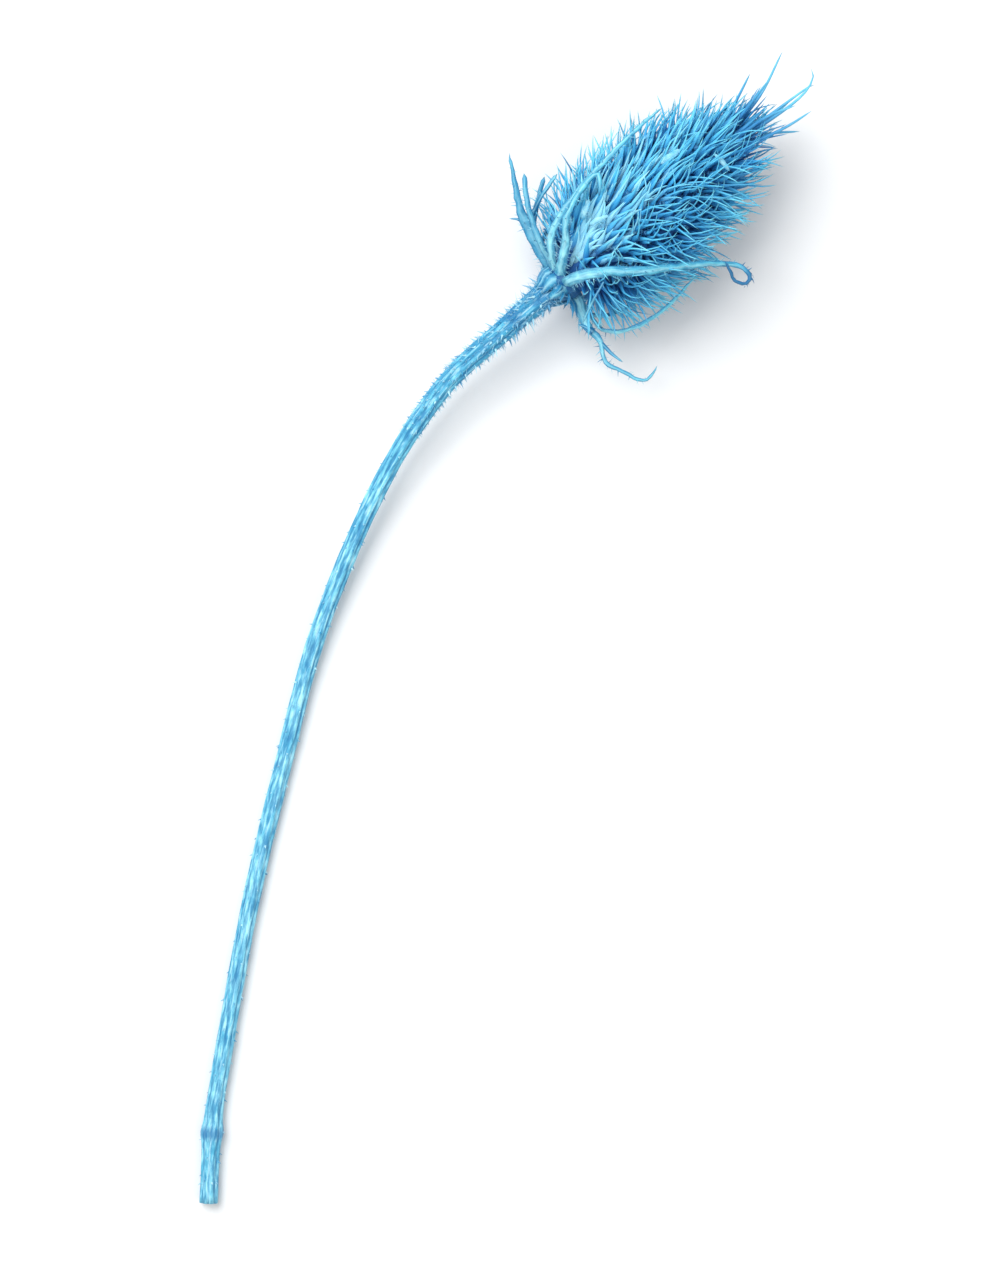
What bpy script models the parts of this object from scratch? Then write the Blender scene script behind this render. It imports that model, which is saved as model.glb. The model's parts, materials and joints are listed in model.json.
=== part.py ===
"""A dried, dyed teasel head on its cut stem, lying on a surface as picked.

The head is an egg-shaped core covered in scales that end in stiff spines, with longer awns at its crown.
A ring of long curved bracts grows from a collar under it, and a ribbed, prickly stem bends away from the
collar to its cut end. The surface is z = 0. The belly of the head and the lower stem rest on it.
"""

import math
import random

import bmesh
import bpy
from mathutils import Vector
from mathutils.kdtree import KDTree

MM = 0.001
GOLDEN_ANGLE = math.radians(137.508)
SEED = 11
TOUCHING_GAP = 0.3

# The head stands on this base point, over the surface, and its axis points along this heading and pitch.
HEAD_BASE = Vector((16.346, 85.969, 16.6)) * MM
HEAD_HEADING = math.radians(39.5)
HEAD_PITCH = math.radians(5)

# Core: (distance along the axis, radius), in millimetres, from the base to the crown.
CORE_OUTLINE = (
    (0, 4.8),
    (4, 8.6),
    (10, 11.2),
    (19, 12.2),
    (29, 11.3),
    (37, 9.8),
    (43.5, 7.4),
    (48, 5.0),
    (51, 2.6),
    (52.4, 0),
)
CORE_SIDES = 20
CORE_STEPS_PER_SPAN = 2

# Scales: each is a three-sided spike with a broad root, a knee and a stiff spine.
SCALE_COUNT = 480
SCALE_FIRST = 1.4
SCALE_SINK = 1.5
SCALE_ROOT_WIDTH = 1.9
SCALE_KNEE_WIDTH = 0.95
SCALE_THICKNESS = 0.8
SCALE_KNEE_SHARE = 0.4
# (distance along the axis, degrees that the spines lean from square to the axis towards the crown)
SPINE_RISE = ((0, -20), (5, -4), (11, 15), (20, 27), (30, 35), (37, 43), (43.5, 53), (48, 67), (52, 84))
# (distance along the axis, length of a spine beyond the core)
SPINE_LENGTH = ((0, 9.6), (5, 10.3), (30, 10.1), (44, 9.8), (52, 11))
SPINE_TILT_SPREAD = 6
SPINE_KNEE_BEND = 7
SHORTEST_SPINE = 2.5
CLEAR_OF_BRACTS = 0.7

# Awns of the crown: a knee and a tip for each, as (along the axis, aside, up) in millimetres.
AWNS = (
    ((61.0, -3.2, 2.2), (72.7, -8.1, 3.0)),
    ((66.0, 3.0, 3.4), (75.4, -0.9, 1.6)),
    ((60.5, 6.0, 4.0), (68.8, 7.4, 6.4)),
    ((58.0, -3.0, 6.0), (66.0, -4.6, 9.6)),
    ((60.0, 1.8, -5.0), (68.5, 1.2, -8.0)),
    ((57.0, -6.4, -2.0), (64.0, -9.6, -5.6)),
    ((57.5, 4.2, -4.0), (64.5, 8.6, -6.8)),
    ((59.0, 1.6, 6.6), (66.5, 4.2, 9.4)),
)
AWN_WIDTH = 0.95
AWN_ROOT = (46.5, 0.3)

# Bracts: widths at the root, halfway and at the tip, and points as x and y from the head's base and z above
# the surface, all in millimetres.
BRACTS = {
    "upper_arc": (
        (2.6, 1.6, 0.8),
        (
            (-3.3, 0.6, 19.4),
            (-4.1, 4.2, 24.0),
            (-4.2, 8.3, 27.4),
            (-1.6, 13.6, 30.2),
            (3.4, 19.8, 32.2),
            (10.0, 27.0, 32.6),
            (16.4, 33.3, 32.2),
            (21.9, 38.0, 31.2),
        ),
    ),
    "looped": (
        (2.8, 2.3, 0.8),
        (
            (-0.7, -2.6, 20.0),
            (0.4, -2.0, 25.5),
            (4.6, -1.2, 31.0),
            (10.3, -0.7, 33.3),
            (17.5, -0.6, 32.5),
            (24.0, 0.5, 30.6),
            (31.7, 1.5, 27.4),
            (37.4, 1.9, 25.2),
            (41.0, 1.2, 24.4),
            (43.0, -1.0, 24.0),
            (41.6, -2.9, 24.0),
            (39.2, -2.0, 24.4),
            (38.0, 0.1, 25.8),
        ),
    ),
    "lower_arc": (
        (2.4, 1.5, 0.8),
        (
            (1.0, -4.3, 16.8),
            (3.4, -9.0, 17.2),
            (6.6, -12.3, 17.8),
            (10.6, -13.4, 18.4),
            (15.0, -12.8, 19.2),
            (21.0, -9.8, 20.2),
            (25.8, -5.6, 21.0),
            (30.2, -0.6, 21.8),
        ),
    ),
    "left_outer": (
        (4.0, 1.9, 0.8),
        (
            (-4.0, 1.9, 16.6),
            (-7.0, 6.6, 17.6),
            (-9.6, 10.8, 18.8),
            (-11.2, 14.4, 19.8),
            (-12.3, 18.8, 21.0),
            (-13.4, 24.3, 22.2),
            (-13.9, 28.6, 23.0),
        ),
    ),
    "left_upper": (
        (1.9, 1.4, 1.0),
        ((-3.7, 1.5, 18.4), (-6.2, 6.2, 21.6), (-8.6, 11.8, 23.8), (-10.1, 17.6, 24.8), (-10.7, 23.3, 25.0)),
    ),
    "left_inner": (
        (1.9, 1.4, 0.8),
        ((-3.8, 1.6, 14.6), (-6.4, 6.0, 13.4), (-8.4, 11.4, 13.0), (-7.4, 17.8, 13.2), (-5.8, 24.0, 13.6)),
    ),
    "zigzag": (
        (2.2, 1.2, 0.7),
        (
            (1.2, -4.0, 15.0),
            (3.2, -8.6, 14.2),
            (4.6, -12.0, 13.8),
            (7.6, -15.2, 13.6),
            (8.2, -18.2, 13.4),
            (9.4, -20.9, 13.2),
            (13.5, -22.9, 12.8),
            (18.6, -24.9, 12.6),
            (21.5, -21.2, 12.4),
        ),
    ),
    "short_front": (
        (2.1, 1.5, 0.8),
        (
            (-2.3, -0.7, 20.2),
            (-1.7, 2.4, 25.8),
            (-0.9, 7.0, 30.6),
            (-0.7, 11.8, 33.6),
            (1.2, 16.0, 35.2),
            (3.6, 19.2, 35.7),
            (6.4, 21.8, 35.5),
        ),
    ),
    "under_left": (
        (2.3, 1.6, 0.9),
        (
            (-3.0, 1.1, 13.6),
            (-6.2, 4.6, 8.2),
            (-6.0, 10.0, 4.2),
            (-1.5, 16.4, 2.6),
            (4.0, 22.2, 2.0),
            (9.8, 26.5, 1.8),
        ),
    ),
    "under_right": (
        (2.3, 1.6, 0.9),
        (
            (0.5, -3.2, 13.6),
            (3.7, -7.4, 8.2),
            (9.5, -8.3, 4.2),
            (17.1, -4.6, 2.6),
            (24.2, 0.9, 2.0),
            (30.7, 7.4, 1.8),
        ),
    ),
}
BRACT_STEPS_PER_SPAN = 2
BRACT_THICKNESS = 1.1
BRACT_PRICKLE_SPACING = 7.0
BRACT_PRICKLE_LENGTH = 1.5
SMALL_BRACT_COUNT = 9
SMALL_BRACT_LENGTH = 6.5
SMALL_BRACT_WIDTH = 1.3

# Collar: (distance along the axis, radius).
COLLAR_OUTLINE = ((-4.0, 3.9), (-2.8, 4.9), (-1.2, 5.2), (-TOUCHING_GAP, 4.7))
COLLAR_SIDES = 16

# Stem: route as x and y from the head's base and z above the surface, in millimetres, from the head to
# the cut.
STEM_TOP = COLLAR_OUTLINE[0][0] - TOUCHING_GAP
STEM_ROUTE = (
    (-15.5, -13.0, 14.5),
    (-30.5, -27.0, 11.7),
    (-45.6, -50.4, 7.6),
    (-60.3, -85.0, 3.5),
    (-69.2, -118.0, 2.0),
    (-77.2, -152.0, 2.0),
    (-84.0, -190.0, 2.0),
    (-86.3, -206.0, 2.0),
    (-87.2, -224.0, 2.0),
)
# (distance from the collar, radius). The ring of these places holds the node near the cut.
STEM_RADIUS = (
    (0, 3.8),
    (5, 3.1),
    (14, 2.75),
    (30, 2.5),
    (55, 2.25),
    (105, 2.2),
    (190, 2.2),
    (224, 2.3),
    (226.5, 2.85),
    (229, 2.85),
    (231, 2.3),
    (270, 2.35),
)
STEM_STEP = 5.0
STEM_RIDGES = 8
STEM_GROOVE_SHARE = 0.88
NECK_LENGTH = 40.0
NECK_PRICKLE_SPACING = 4.2
NECK_PRICKLE_LENGTH = 2.7
STEM_PRICKLE_SPACING = 24.0
STEM_PRICKLE_LENGTH = 1.5
PRICKLE_WIDTH = 0.9
PRICKLE_SINK = 0.6
PRICKLE_SLOPE = math.radians(25)
LOWEST_PRICKLE_TIP = 0.3

DYES = {
    "head": ((0.075, 0.27, 0.52), 0.6),
    "involucre": ((0.17, 0.53, 0.76), 0.55),
    "stem": ((0.24, 0.62, 0.80), 0.6),
}

LEVEL_AXIS = Vector((math.cos(HEAD_HEADING), math.sin(HEAD_HEADING), 0))
AXIS = LEVEL_AXIS * math.cos(HEAD_PITCH) + Vector((0, 0, 1)) * math.sin(HEAD_PITCH)
ASIDE = AXIS.cross(Vector((0, 0, 1))).normalized()
UP = ASIDE.cross(AXIS)


def in_head(along, aside, up):
    """A point of the head's own frame, given in millimetres, in the world."""
    return HEAD_BASE + (AXIS * along + ASIDE * aside + UP * up) * MM


def radial(angle):
    return ASIDE * math.cos(angle) + UP * math.sin(angle)


def interpolate(table, x):
    """Straight-line reading of a table of (x, value) pairs."""
    if x <= table[0][0]:
        return table[0][1]
    for (x0, y0), (x1, y1) in zip(table, table[1:]):
        if x <= x1:
            return y0 + (y1 - y0) * (x - x0) / (x1 - x0)
    return table[-1][1]


def smooth_curve(points, steps):
    """A Catmull-Rom curve through the points, with this many steps between each pair."""
    points = [Vector(p) for p in points]
    ends = [2 * points[0] - points[1], *points, 2 * points[-1] - points[-2]]
    curve = []
    for before, start, end, after in zip(ends, ends[1:], ends[2:], ends[3:]):
        for step in range(steps):
            u = step / steps
            curve.append(
                0.5
                * (
                    2 * start
                    + (end - before) * u
                    + (2 * before - 5 * start + 4 * end - after) * u**2
                    + (3 * start - before - 3 * end + after) * u**3
                )
            )
    return [*curve, points[-1]]


def distances(points):
    """The distance along the line from its start to each of its points."""
    reached = [0.0]
    for a, b in zip(points, points[1:]):
        reached.append(reached[-1] + (b - a).length)
    return reached


def points_at(points, places):
    """The points of a line that lie these distances from its start."""
    reached = distances(points)
    found = []
    for place in places:
        span = next((j for j in range(1, len(reached)) if reached[j] >= place), len(reached) - 1)
        share = (place - reached[span - 1]) / (reached[span] - reached[span - 1])
        found.append(points[span - 1].lerp(points[span], share))
    return found


def evenly_spaced(points, spacing):
    """The same line with points about this far apart."""
    length = distances(points)[-1]
    count = max(1, round(length / spacing))
    return points_at(points, [length * i / count for i in range(count + 1)])


def tangents(line):
    return [(line[min(i + 1, len(line) - 1)] - line[max(i - 1, 0)]).normalized() for i in range(len(line))]


def loft(name, rings):
    """A closed solid through the rings of points, capped at both ends. A ring of one point is a tip."""
    mesh = bpy.data.meshes.new(name)
    bm = bmesh.new()
    loops = [[bm.verts.new(p) for p in ring] for ring in rings]
    for lower, upper in zip(loops, loops[1:]):
        sides = max(len(lower), len(upper))
        for i in range(sides):
            j = (i + 1) % sides
            if len(upper) == 1:
                bm.faces.new((lower[i], lower[j], upper[0]))
            elif len(lower) == 1:
                bm.faces.new((lower[0], upper[j], upper[i]))
            else:
                bm.faces.new((lower[i], lower[j], upper[j], upper[i]))
    for cap in (loops[0], loops[-1]):
        if len(cap) > 2:
            bm.faces.new(cap)
    bmesh.ops.recalc_face_normals(bm, faces=bm.faces)
    bmesh.ops.triangulate(bm, faces=bm.faces)
    bm.to_mesh(mesh)
    bm.free()
    obj = bpy.data.objects.new(name, mesh)
    bpy.context.scene.collection.objects.link(obj)
    return obj


def spike(name, line, widths, thicknesses, backs):
    """A three-sided spike along the line. Its back ridge points the way that backs says at each point."""
    rings = []
    for centre, ahead, width, thickness, back in zip(line, tangents(line), widths, thicknesses, backs):
        back = (back - ahead * back.dot(ahead)).normalized()
        across = ahead.cross(back)
        flat = centre - back * thickness / 3
        rings.append([flat + across * width / 2, flat - across * width / 2, centre + back * thickness * 2 / 3])
    rings[-1] = [line[-1]]
    return loft(name, rings)


def turned(name, outline, sides):
    """A solid of revolution about the head's axis. The outline holds (along, radius) pairs."""
    rings = []
    for along, radius in outline:
        if radius < 0.01:
            rings.append([in_head(along, 0, 0)])
            continue
        turns = [2 * math.pi * k / sides for k in range(sides)]
        rings.append([in_head(along, radius * math.cos(a), radius * math.sin(a)) for a in turns])
    return loft(name, rings)


def fuse(body, repeats):
    """Joins what grows from the body to it with one union, and removes the loose copies."""
    group = bpy.data.collections.new(body.name + "_repeats")
    bpy.context.scene.collection.children.link(group)
    for obj in repeats:
        bpy.context.scene.collection.objects.unlink(obj)
        group.objects.link(obj)
    union = body.modifiers.new("grown_together", "BOOLEAN")
    union.operation = "UNION"
    union.operand_type = "COLLECTION"
    union.collection = group
    union.solver = "MANIFOLD"
    bpy.context.view_layer.objects.active = body
    bpy.ops.object.modifier_apply(modifier=union.name)
    for obj in repeats:
        bpy.data.objects.remove(obj)
    bpy.data.collections.remove(group)


def above_surface(point, lowest):
    """The point, pressed up to this height where it would reach into the surface that the head lies on."""
    return Vector((point.x, point.y, max(point.z, lowest)))


def over_surface(x, y, z):
    """A point given in millimetres: x and y from the head's base, z above the surface."""
    return Vector((HEAD_BASE.x + x * MM, HEAD_BASE.y + y * MM, z * MM))


def bract_lines():
    """Centre line and widths of every long bract."""
    lines = []
    for widths, points in BRACTS.values():
        line = smooth_curve([over_surface(*p) for p in points], BRACT_STEPS_PER_SPAN)
        table = tuple(zip((0, 0.5, 1), widths))
        lines.append((line, [interpolate(table, i / (len(line) - 1)) * MM for i in range(len(line))]))
    return lines


def outward_and_back(point):
    """Where a bract's keel points: away from the head's axis, and back towards the stem."""
    offset = point - HEAD_BASE
    outward = offset - AXIS * offset.dot(AXIS)
    return outward.normalized() - AXIS


def bract_solids(line, widths):
    thicknesses = [BRACT_THICKNESS * MM * (1 - 0.4 * i / len(line)) for i in range(len(line))]
    solids = [spike("bract", line, widths, thicknesses, [outward_and_back(p) for p in line])]
    spots = evenly_spaced(line, BRACT_PRICKLE_SPACING * MM)
    for spot, ahead in list(zip(spots, tangents(spots)))[2:-2]:
        keel = outward_and_back(spot)
        keel = (keel - ahead * keel.dot(ahead)).normalized()
        tip = spot + (keel + ahead * 0.5).normalized() * BRACT_PRICKLE_LENGTH * MM
        prickle = [spot, above_surface(tip, 0)]
        solids.append(spike("bract_prickle", prickle, [0.7 * MM] * 2, [0.6 * MM] * 2, [ahead] * 2))
    return solids


def small_bract_solids():
    """Short bracts that bend back from the collar's rim."""
    solids = []
    for i in range(SMALL_BRACT_COUNT):
        out = radial(i * GOLDEN_ANGLE + 0.4)
        root = in_head(-2.4, 0, 0) + out * 3.2 * MM
        reach = SMALL_BRACT_LENGTH * MM * (1 + 0.25 * math.sin(2.1 * i))
        knee = root + (out - AXIS * 0.12).normalized() * reach * 0.5
        tip = knee + (out - AXIS * 0.75).normalized() * reach * 0.5
        widths = [SMALL_BRACT_WIDTH * MM, SMALL_BRACT_WIDTH * 0.7 * MM, 0]
        solids.append(spike("small_bract", [root, knee, tip], widths, [0.8 * MM] * 3, [-AXIS] * 3))
    return solids


def make_involucre(lines):
    collar = turned("involucre", COLLAR_OUTLINE, COLLAR_SIDES)
    repeats = small_bract_solids()
    for line, widths in lines:
        repeats += bract_solids(line, widths)
    fuse(collar, repeats)
    return collar


def bract_tree(lines):
    """A search tree of points along the bracts, which spines and prickles keep clear of."""
    spots = []
    for line, widths in lines:
        spots += [(p, max(widths[1:])) for p in evenly_spaced(line, 1.0 * MM)]
    tree = KDTree(len(spots))
    for i, (point, _) in enumerate(spots):
        tree.insert(point, i)
    tree.balance()
    return tree, [width for _, width in spots]


def clear_length(start, direction, length, tree, widths):
    """How far a spine can reach before it comes too near a bract."""
    steps = 12
    for i in range(1, steps + 1):
        point = start + direction * length * i / steps
        _, index, distance = tree.find(point)
        if distance < widths[index] / 2 + CLEAR_OF_BRACTS * MM:
            return length * (i - 2) / steps
    return length


def lattice(count):
    """Places of the scales on the core, evenly spread by area along a golden-angle spiral."""
    outline = smooth_curve([(x, r, 0) for x, r in CORE_OUTLINE], 16)
    outline = [p for p in outline if p.x >= SCALE_FIRST]
    areas = [0.0]
    for a, b in zip(outline, outline[1:]):
        areas.append(areas[-1] + (b - a).length * (a.y + b.y))
    for i in range(count):
        wanted = areas[-1] * (i + 0.5) / count
        span = next(j for j in range(1, len(areas)) if areas[j] >= wanted)
        share = (wanted - areas[span - 1]) / (areas[span] - areas[span - 1])
        spot = outline[span - 1].lerp(outline[span], share)
        yield spot.x, spot.y, i * GOLDEN_ANGLE


def scale_solid(along, radius, angle, draw, tree, widths):
    """One scale with its spine, or nothing where a bract leaves it no room."""
    out = radial(angle + math.radians(draw.uniform(-3, 3)))
    rise = math.radians(interpolate(SPINE_RISE, along) + draw.uniform(-SPINE_TILT_SPREAD, SPINE_TILT_SPREAD))
    bend = math.radians(SPINE_KNEE_BEND)
    low = out * math.cos(rise - bend) + AXIS * math.sin(rise - bend)
    high = out * math.cos(rise + bend) + AXIS * math.sin(rise + bend)
    surface = in_head(along, 0, 0) + radial(angle) * radius * MM
    wanted = interpolate(SPINE_LENGTH, along) * MM * draw.uniform(0.9, 1.1)
    length = clear_length(surface, (low + high) / 2, wanted, tree, widths)
    if length < SHORTEST_SPINE * MM:
        return None
    root = surface - low * SCALE_SINK * MM
    knee = above_surface(surface + low * length * SCALE_KNEE_SHARE, SCALE_THICKNESS * MM)
    tip = above_surface(knee + high * length * (1 - SCALE_KNEE_SHARE), 0)
    sizes = [SCALE_ROOT_WIDTH * MM, SCALE_KNEE_WIDTH * MM, 0]
    return spike("scale", [root, knee, tip], sizes, [SCALE_THICKNESS * MM] * 3, [-AXIS] * 3)


def awn_solid(knee, tip):
    """One long awn of the crown, from inside the core over its knee to its tip."""
    along, share = AWN_ROOT
    line = smooth_curve([in_head(along, knee[1] * share, knee[2] * share), in_head(*knee), in_head(*tip)], 2)
    widths = [AWN_WIDTH * MM * (1 - 0.15 * i) for i in range(len(line))]
    return spike("awn", line, widths, widths, [UP + ASIDE * 0.3] * len(line))


def make_head(lines):
    draw = random.Random(SEED)
    tree, widths = bract_tree(lines)
    outline = [(p.x, p.y) for p in smooth_curve([(x, r, 0) for x, r in CORE_OUTLINE], CORE_STEPS_PER_SPAN)]
    core = turned("head", outline, CORE_SIDES)
    scales = [scale_solid(*place, draw, tree, widths) for place in lattice(SCALE_COUNT)]
    fuse(core, [s for s in scales if s] + [awn_solid(*awn) for awn in AWNS])
    return core


def stem_line():
    """Centre line of the stem and the distance from the collar to each of its points, in millimetres."""
    route = [in_head(STEM_TOP, 0, 0), in_head(STEM_TOP - 6, 0, 0)] + [over_surface(*p) for p in STEM_ROUTE]
    curve = smooth_curve(route, 12)
    length = distances(curve)[-1] / MM
    changes = [place for place, _ in STEM_RADIUS if place < length]
    steps = [length * i / round(length / STEM_STEP) for i in range(round(length / STEM_STEP) + 1)]
    places = sorted(changes[1:] + [s for s in steps if min(abs(s - c) for c in changes[1:]) > 1.0])
    return points_at(curve, [place * MM for place in places]), places


def level_frame(ahead):
    """Two unit vectors across the stem: one level, one facing up."""
    level = Vector((0, 0, 1)).cross(ahead).normalized()
    return level, ahead.cross(level)


def stem_prickles(line, places, tree, widths):
    """Prickles along the ridges, close and long on the neck, sparse and short below it."""
    solids = []
    ways = tangents(line)
    rows = [
        (6.0, NECK_LENGTH, NECK_PRICKLE_SPACING, NECK_PRICKLE_LENGTH),
        (NECK_LENGTH, places[-1] - 4, STEM_PRICKLE_SPACING, STEM_PRICKLE_LENGTH),
    ]
    for first, last, spacing, length in rows:
        for ridge in range(STEM_RIDGES):
            place = first + spacing * ((ridge * 0.618) % 1)
            while place < last:
                i = min(range(len(places)), key=lambda k: abs(places[k] - place))
                level, upward = level_frame(ways[i])
                angle = 2 * math.pi * (ridge + 0.5) / STEM_RIDGES
                out = level * math.cos(angle) + upward * math.sin(angle)
                centre = line[i] + ways[i] * (place - places[i]) * MM
                radius = interpolate(STEM_RADIUS, place)
                root = centre + out * (radius - PRICKLE_SINK) * MM
                point = out * math.cos(PRICKLE_SLOPE) + ways[i] * math.sin(PRICKLE_SLOPE)
                shrunk = length * (1 - 0.3 * (place - first) / (last - first))
                tip = root + point * (shrunk + PRICKLE_SINK) * MM
                near_bract = tree.find(tip)[2] < 1.6 * MM
                if tip.z > LOWEST_PRICKLE_TIP * MM and not near_bract:
                    widths_here = [PRICKLE_WIDTH * MM] * 2
                    solids.append(spike("prickle", [root, tip], widths_here, [0.7 * MM] * 2, [ways[i]] * 2))
                place += spacing
    return solids


def make_stem(lines):
    line, places = stem_line()
    rings = []
    for centre, ahead, place in zip(line, tangents(line), places):
        level, upward = level_frame(ahead)
        ring = []
        for k in range(2 * STEM_RIDGES):
            radius = interpolate(STEM_RADIUS, place) * (1 if k % 2 else STEM_GROOVE_SHARE)
            angle = math.pi * k / STEM_RIDGES
            point = centre + (level * math.cos(angle) + upward * math.sin(angle)) * radius * MM
            ring.append(above_surface(point, 0))
        rings.append(ring)
    stem = loft("stem", rings)
    tree, widths = bract_tree(lines)
    fuse(stem, stem_prickles(line, places, tree, widths))
    return stem


def dye(obj):
    colour, roughness = DYES[obj.name]
    material = bpy.data.materials.new(obj.name + "_dye")
    material.use_nodes = True
    shader = material.node_tree.nodes["Principled BSDF"]
    shader.inputs["Base Color"].default_value = (*colour, 1)
    shader.inputs["Roughness"].default_value = roughness
    obj.data.materials.append(material)


def main():
    for obj in list(bpy.data.objects):
        bpy.data.objects.remove(obj)
    lines = bract_lines()
    plant = bpy.data.objects.new("teasel", None)
    bpy.context.scene.collection.objects.link(plant)
    for obj in (make_stem(lines), make_involucre(lines), make_head(lines)):
        dye(obj)
        obj.parent = plant
    corners = [v.co for obj in plant.children for v in obj.data.vertices]
    for name, low, high in zip("xyz", map(min, zip(*corners)), map(max, zip(*corners))):
        print(f"{name} from {low / MM:.3f} to {high / MM:.3f} mm, middle {(low + high) / 2 / MM:.3f}")


main()
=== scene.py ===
# %% [markdown]
# # A dried teasel head, dyed blue
# A teasel is a tall plant whose seed head stays stiff when it dries. The head is a small egg covered in
# scales, each of which ends in a springy spine. Long curved bracts grow from a collar under it, and the
# stem is ribbed and prickly. This one was cut, dipped in blue dye and laid down on a table.
#
# We build it the way that it grew: core, scales, crown, collar, bracts, stem. The solids that were
# already measured are loaded first, so that each new piece takes the size and the place of what it stands
# for.

# %% Load the measured solids
import json
import math
import random

import bpy
import numpy as np
from mathutils import Matrix, Vector, noise
from mathutils.kdtree import KDTree

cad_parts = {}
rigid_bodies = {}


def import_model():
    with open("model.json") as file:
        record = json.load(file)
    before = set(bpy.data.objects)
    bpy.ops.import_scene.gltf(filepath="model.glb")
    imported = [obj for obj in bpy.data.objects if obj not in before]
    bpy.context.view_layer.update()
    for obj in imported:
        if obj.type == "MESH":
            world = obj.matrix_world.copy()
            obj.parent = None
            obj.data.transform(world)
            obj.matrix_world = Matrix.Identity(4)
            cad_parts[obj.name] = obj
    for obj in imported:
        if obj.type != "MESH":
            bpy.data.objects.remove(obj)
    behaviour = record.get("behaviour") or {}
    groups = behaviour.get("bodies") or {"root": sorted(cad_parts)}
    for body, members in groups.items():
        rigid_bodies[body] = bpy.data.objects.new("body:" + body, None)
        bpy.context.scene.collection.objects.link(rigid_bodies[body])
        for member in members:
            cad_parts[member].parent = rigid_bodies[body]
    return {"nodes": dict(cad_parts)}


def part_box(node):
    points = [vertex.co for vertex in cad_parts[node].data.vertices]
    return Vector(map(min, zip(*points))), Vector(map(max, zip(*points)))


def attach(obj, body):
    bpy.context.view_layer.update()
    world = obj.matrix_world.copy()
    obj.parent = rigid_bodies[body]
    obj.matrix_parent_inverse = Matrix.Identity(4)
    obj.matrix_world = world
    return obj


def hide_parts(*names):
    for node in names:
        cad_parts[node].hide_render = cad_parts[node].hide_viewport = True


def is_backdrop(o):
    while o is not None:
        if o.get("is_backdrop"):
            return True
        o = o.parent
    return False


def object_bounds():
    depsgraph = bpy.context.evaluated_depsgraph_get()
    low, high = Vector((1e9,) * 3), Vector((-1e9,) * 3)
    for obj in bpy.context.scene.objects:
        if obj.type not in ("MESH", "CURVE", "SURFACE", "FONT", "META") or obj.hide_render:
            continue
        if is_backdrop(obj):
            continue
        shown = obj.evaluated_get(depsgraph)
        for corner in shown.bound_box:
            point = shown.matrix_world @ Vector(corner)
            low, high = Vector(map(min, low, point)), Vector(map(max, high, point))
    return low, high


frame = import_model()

MM = 0.001
cad_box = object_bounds()
bpy.ops.object.select_all(action="DESELECT")
for node in frame["nodes"]:
    low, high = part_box(node)
    print(node, "from", [round(v / MM, 1) for v in low], "to", [round(v / MM, 1) for v in high], "mm")

# %% [markdown]
# ## The directions of the head
# Everything on the head is described from one point, the base, and one line, the axis that runs from the
# base to the crown. It points along the table at 39.5 degrees and lifts its nose by 5 degrees. From these
# come two more directions, aside and up, and a helper that turns "so far along, aside and up" into a
# place.

# %% The head's own directions
HEAD_BASE = Vector((16.346, 85.969, 16.6)) * MM
HEADING = math.radians(39.5)
PITCH = math.radians(5)
AXIS = Vector(
    (math.cos(HEADING) * math.cos(PITCH), math.sin(HEADING) * math.cos(PITCH), math.sin(PITCH))
)
ASIDE = AXIS.cross(Vector((0, 0, 1))).normalized()
UP = ASIDE.cross(AXIS)
HEAD_TURN = Matrix((UP, ASIDE, AXIS)).transposed().to_4x4()
HEAD_PLACE = Matrix.Translation(HEAD_BASE) @ HEAD_TURN @ Matrix.Scale(MM, 4)


def in_head(along, aside, up):
    """A place on the head, given in millimetres from its base."""
    return HEAD_BASE + (AXIS * along + ASIDE * aside + UP * up) * MM


def over_table(x, y, z):
    """A place given in millimetres: x and y from the head's base, z above the table."""
    return Vector((HEAD_BASE.x + x * MM, HEAD_BASE.y + y * MM, z * MM))


print("axis", [round(v, 3) for v in AXIS], "crown at", [round(v / MM, 1) for v in in_head(52.4, 0, 0)], "mm")

# %% [markdown]
# ## Curves and tables
# Plants have no straight lines, so most shapes here follow a smooth curve through a few given points. A
# Catmull-Rom curve passes through all of them. Sizes that change along a piece are short tables of pairs,
# which we read in between with a straight line.

# %% Helpers for curves and tables
def read_table(table, x):
    """The value of a table of (place, value) pairs at this place."""
    return float(np.interp(x, [place for place, _ in table], [value for _, value in table]))


def smooth_curve(points, steps):
    """A Catmull-Rom curve through the points, with this many steps between each pair."""
    points = [Vector(p) for p in points]
    ends = [2 * points[0] - points[1], *points, 2 * points[-1] - points[-2]]
    curve = []
    for before, start, end, after in zip(ends, ends[1:], ends[2:], ends[3:]):
        for u in (step / steps for step in range(steps)):
            pull = (2 * before - 5 * start + 4 * end - after) * u**2
            bend = (3 * start - before - 3 * end + after) * u**3
            curve.append((2 * start + (end - before) * u + pull + bend) / 2)
    return [*curve, points[-1]]


def distances(points):
    """How far along the line each of its points lies."""
    return np.concatenate([[0.0], np.cumsum([(b - a).length for a, b in zip(points, points[1:])])])


# %% [markdown]
# ## Growing a piece from a ring
# A scale, a bract, an awn and the stem all have the same plan: a ring that is pushed forward again and
# again and made wider or narrower on the way. By hand that is a circle, then extrude and scale, extrude
# and scale. The helper does the same with the same operators. It grows each piece straight up, in
# millimetres. Placing or bending comes later, so each piece also remembers where its points were when it
# was straight: its grain can then follow every bend.

# %% Helpers for growing pieces
def alone(piece):
    """Selects only this piece and makes it the active one."""
    bpy.ops.object.select_all(action="DESELECT")
    piece.select_set(True)
    bpy.context.view_layer.objects.active = piece


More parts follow.
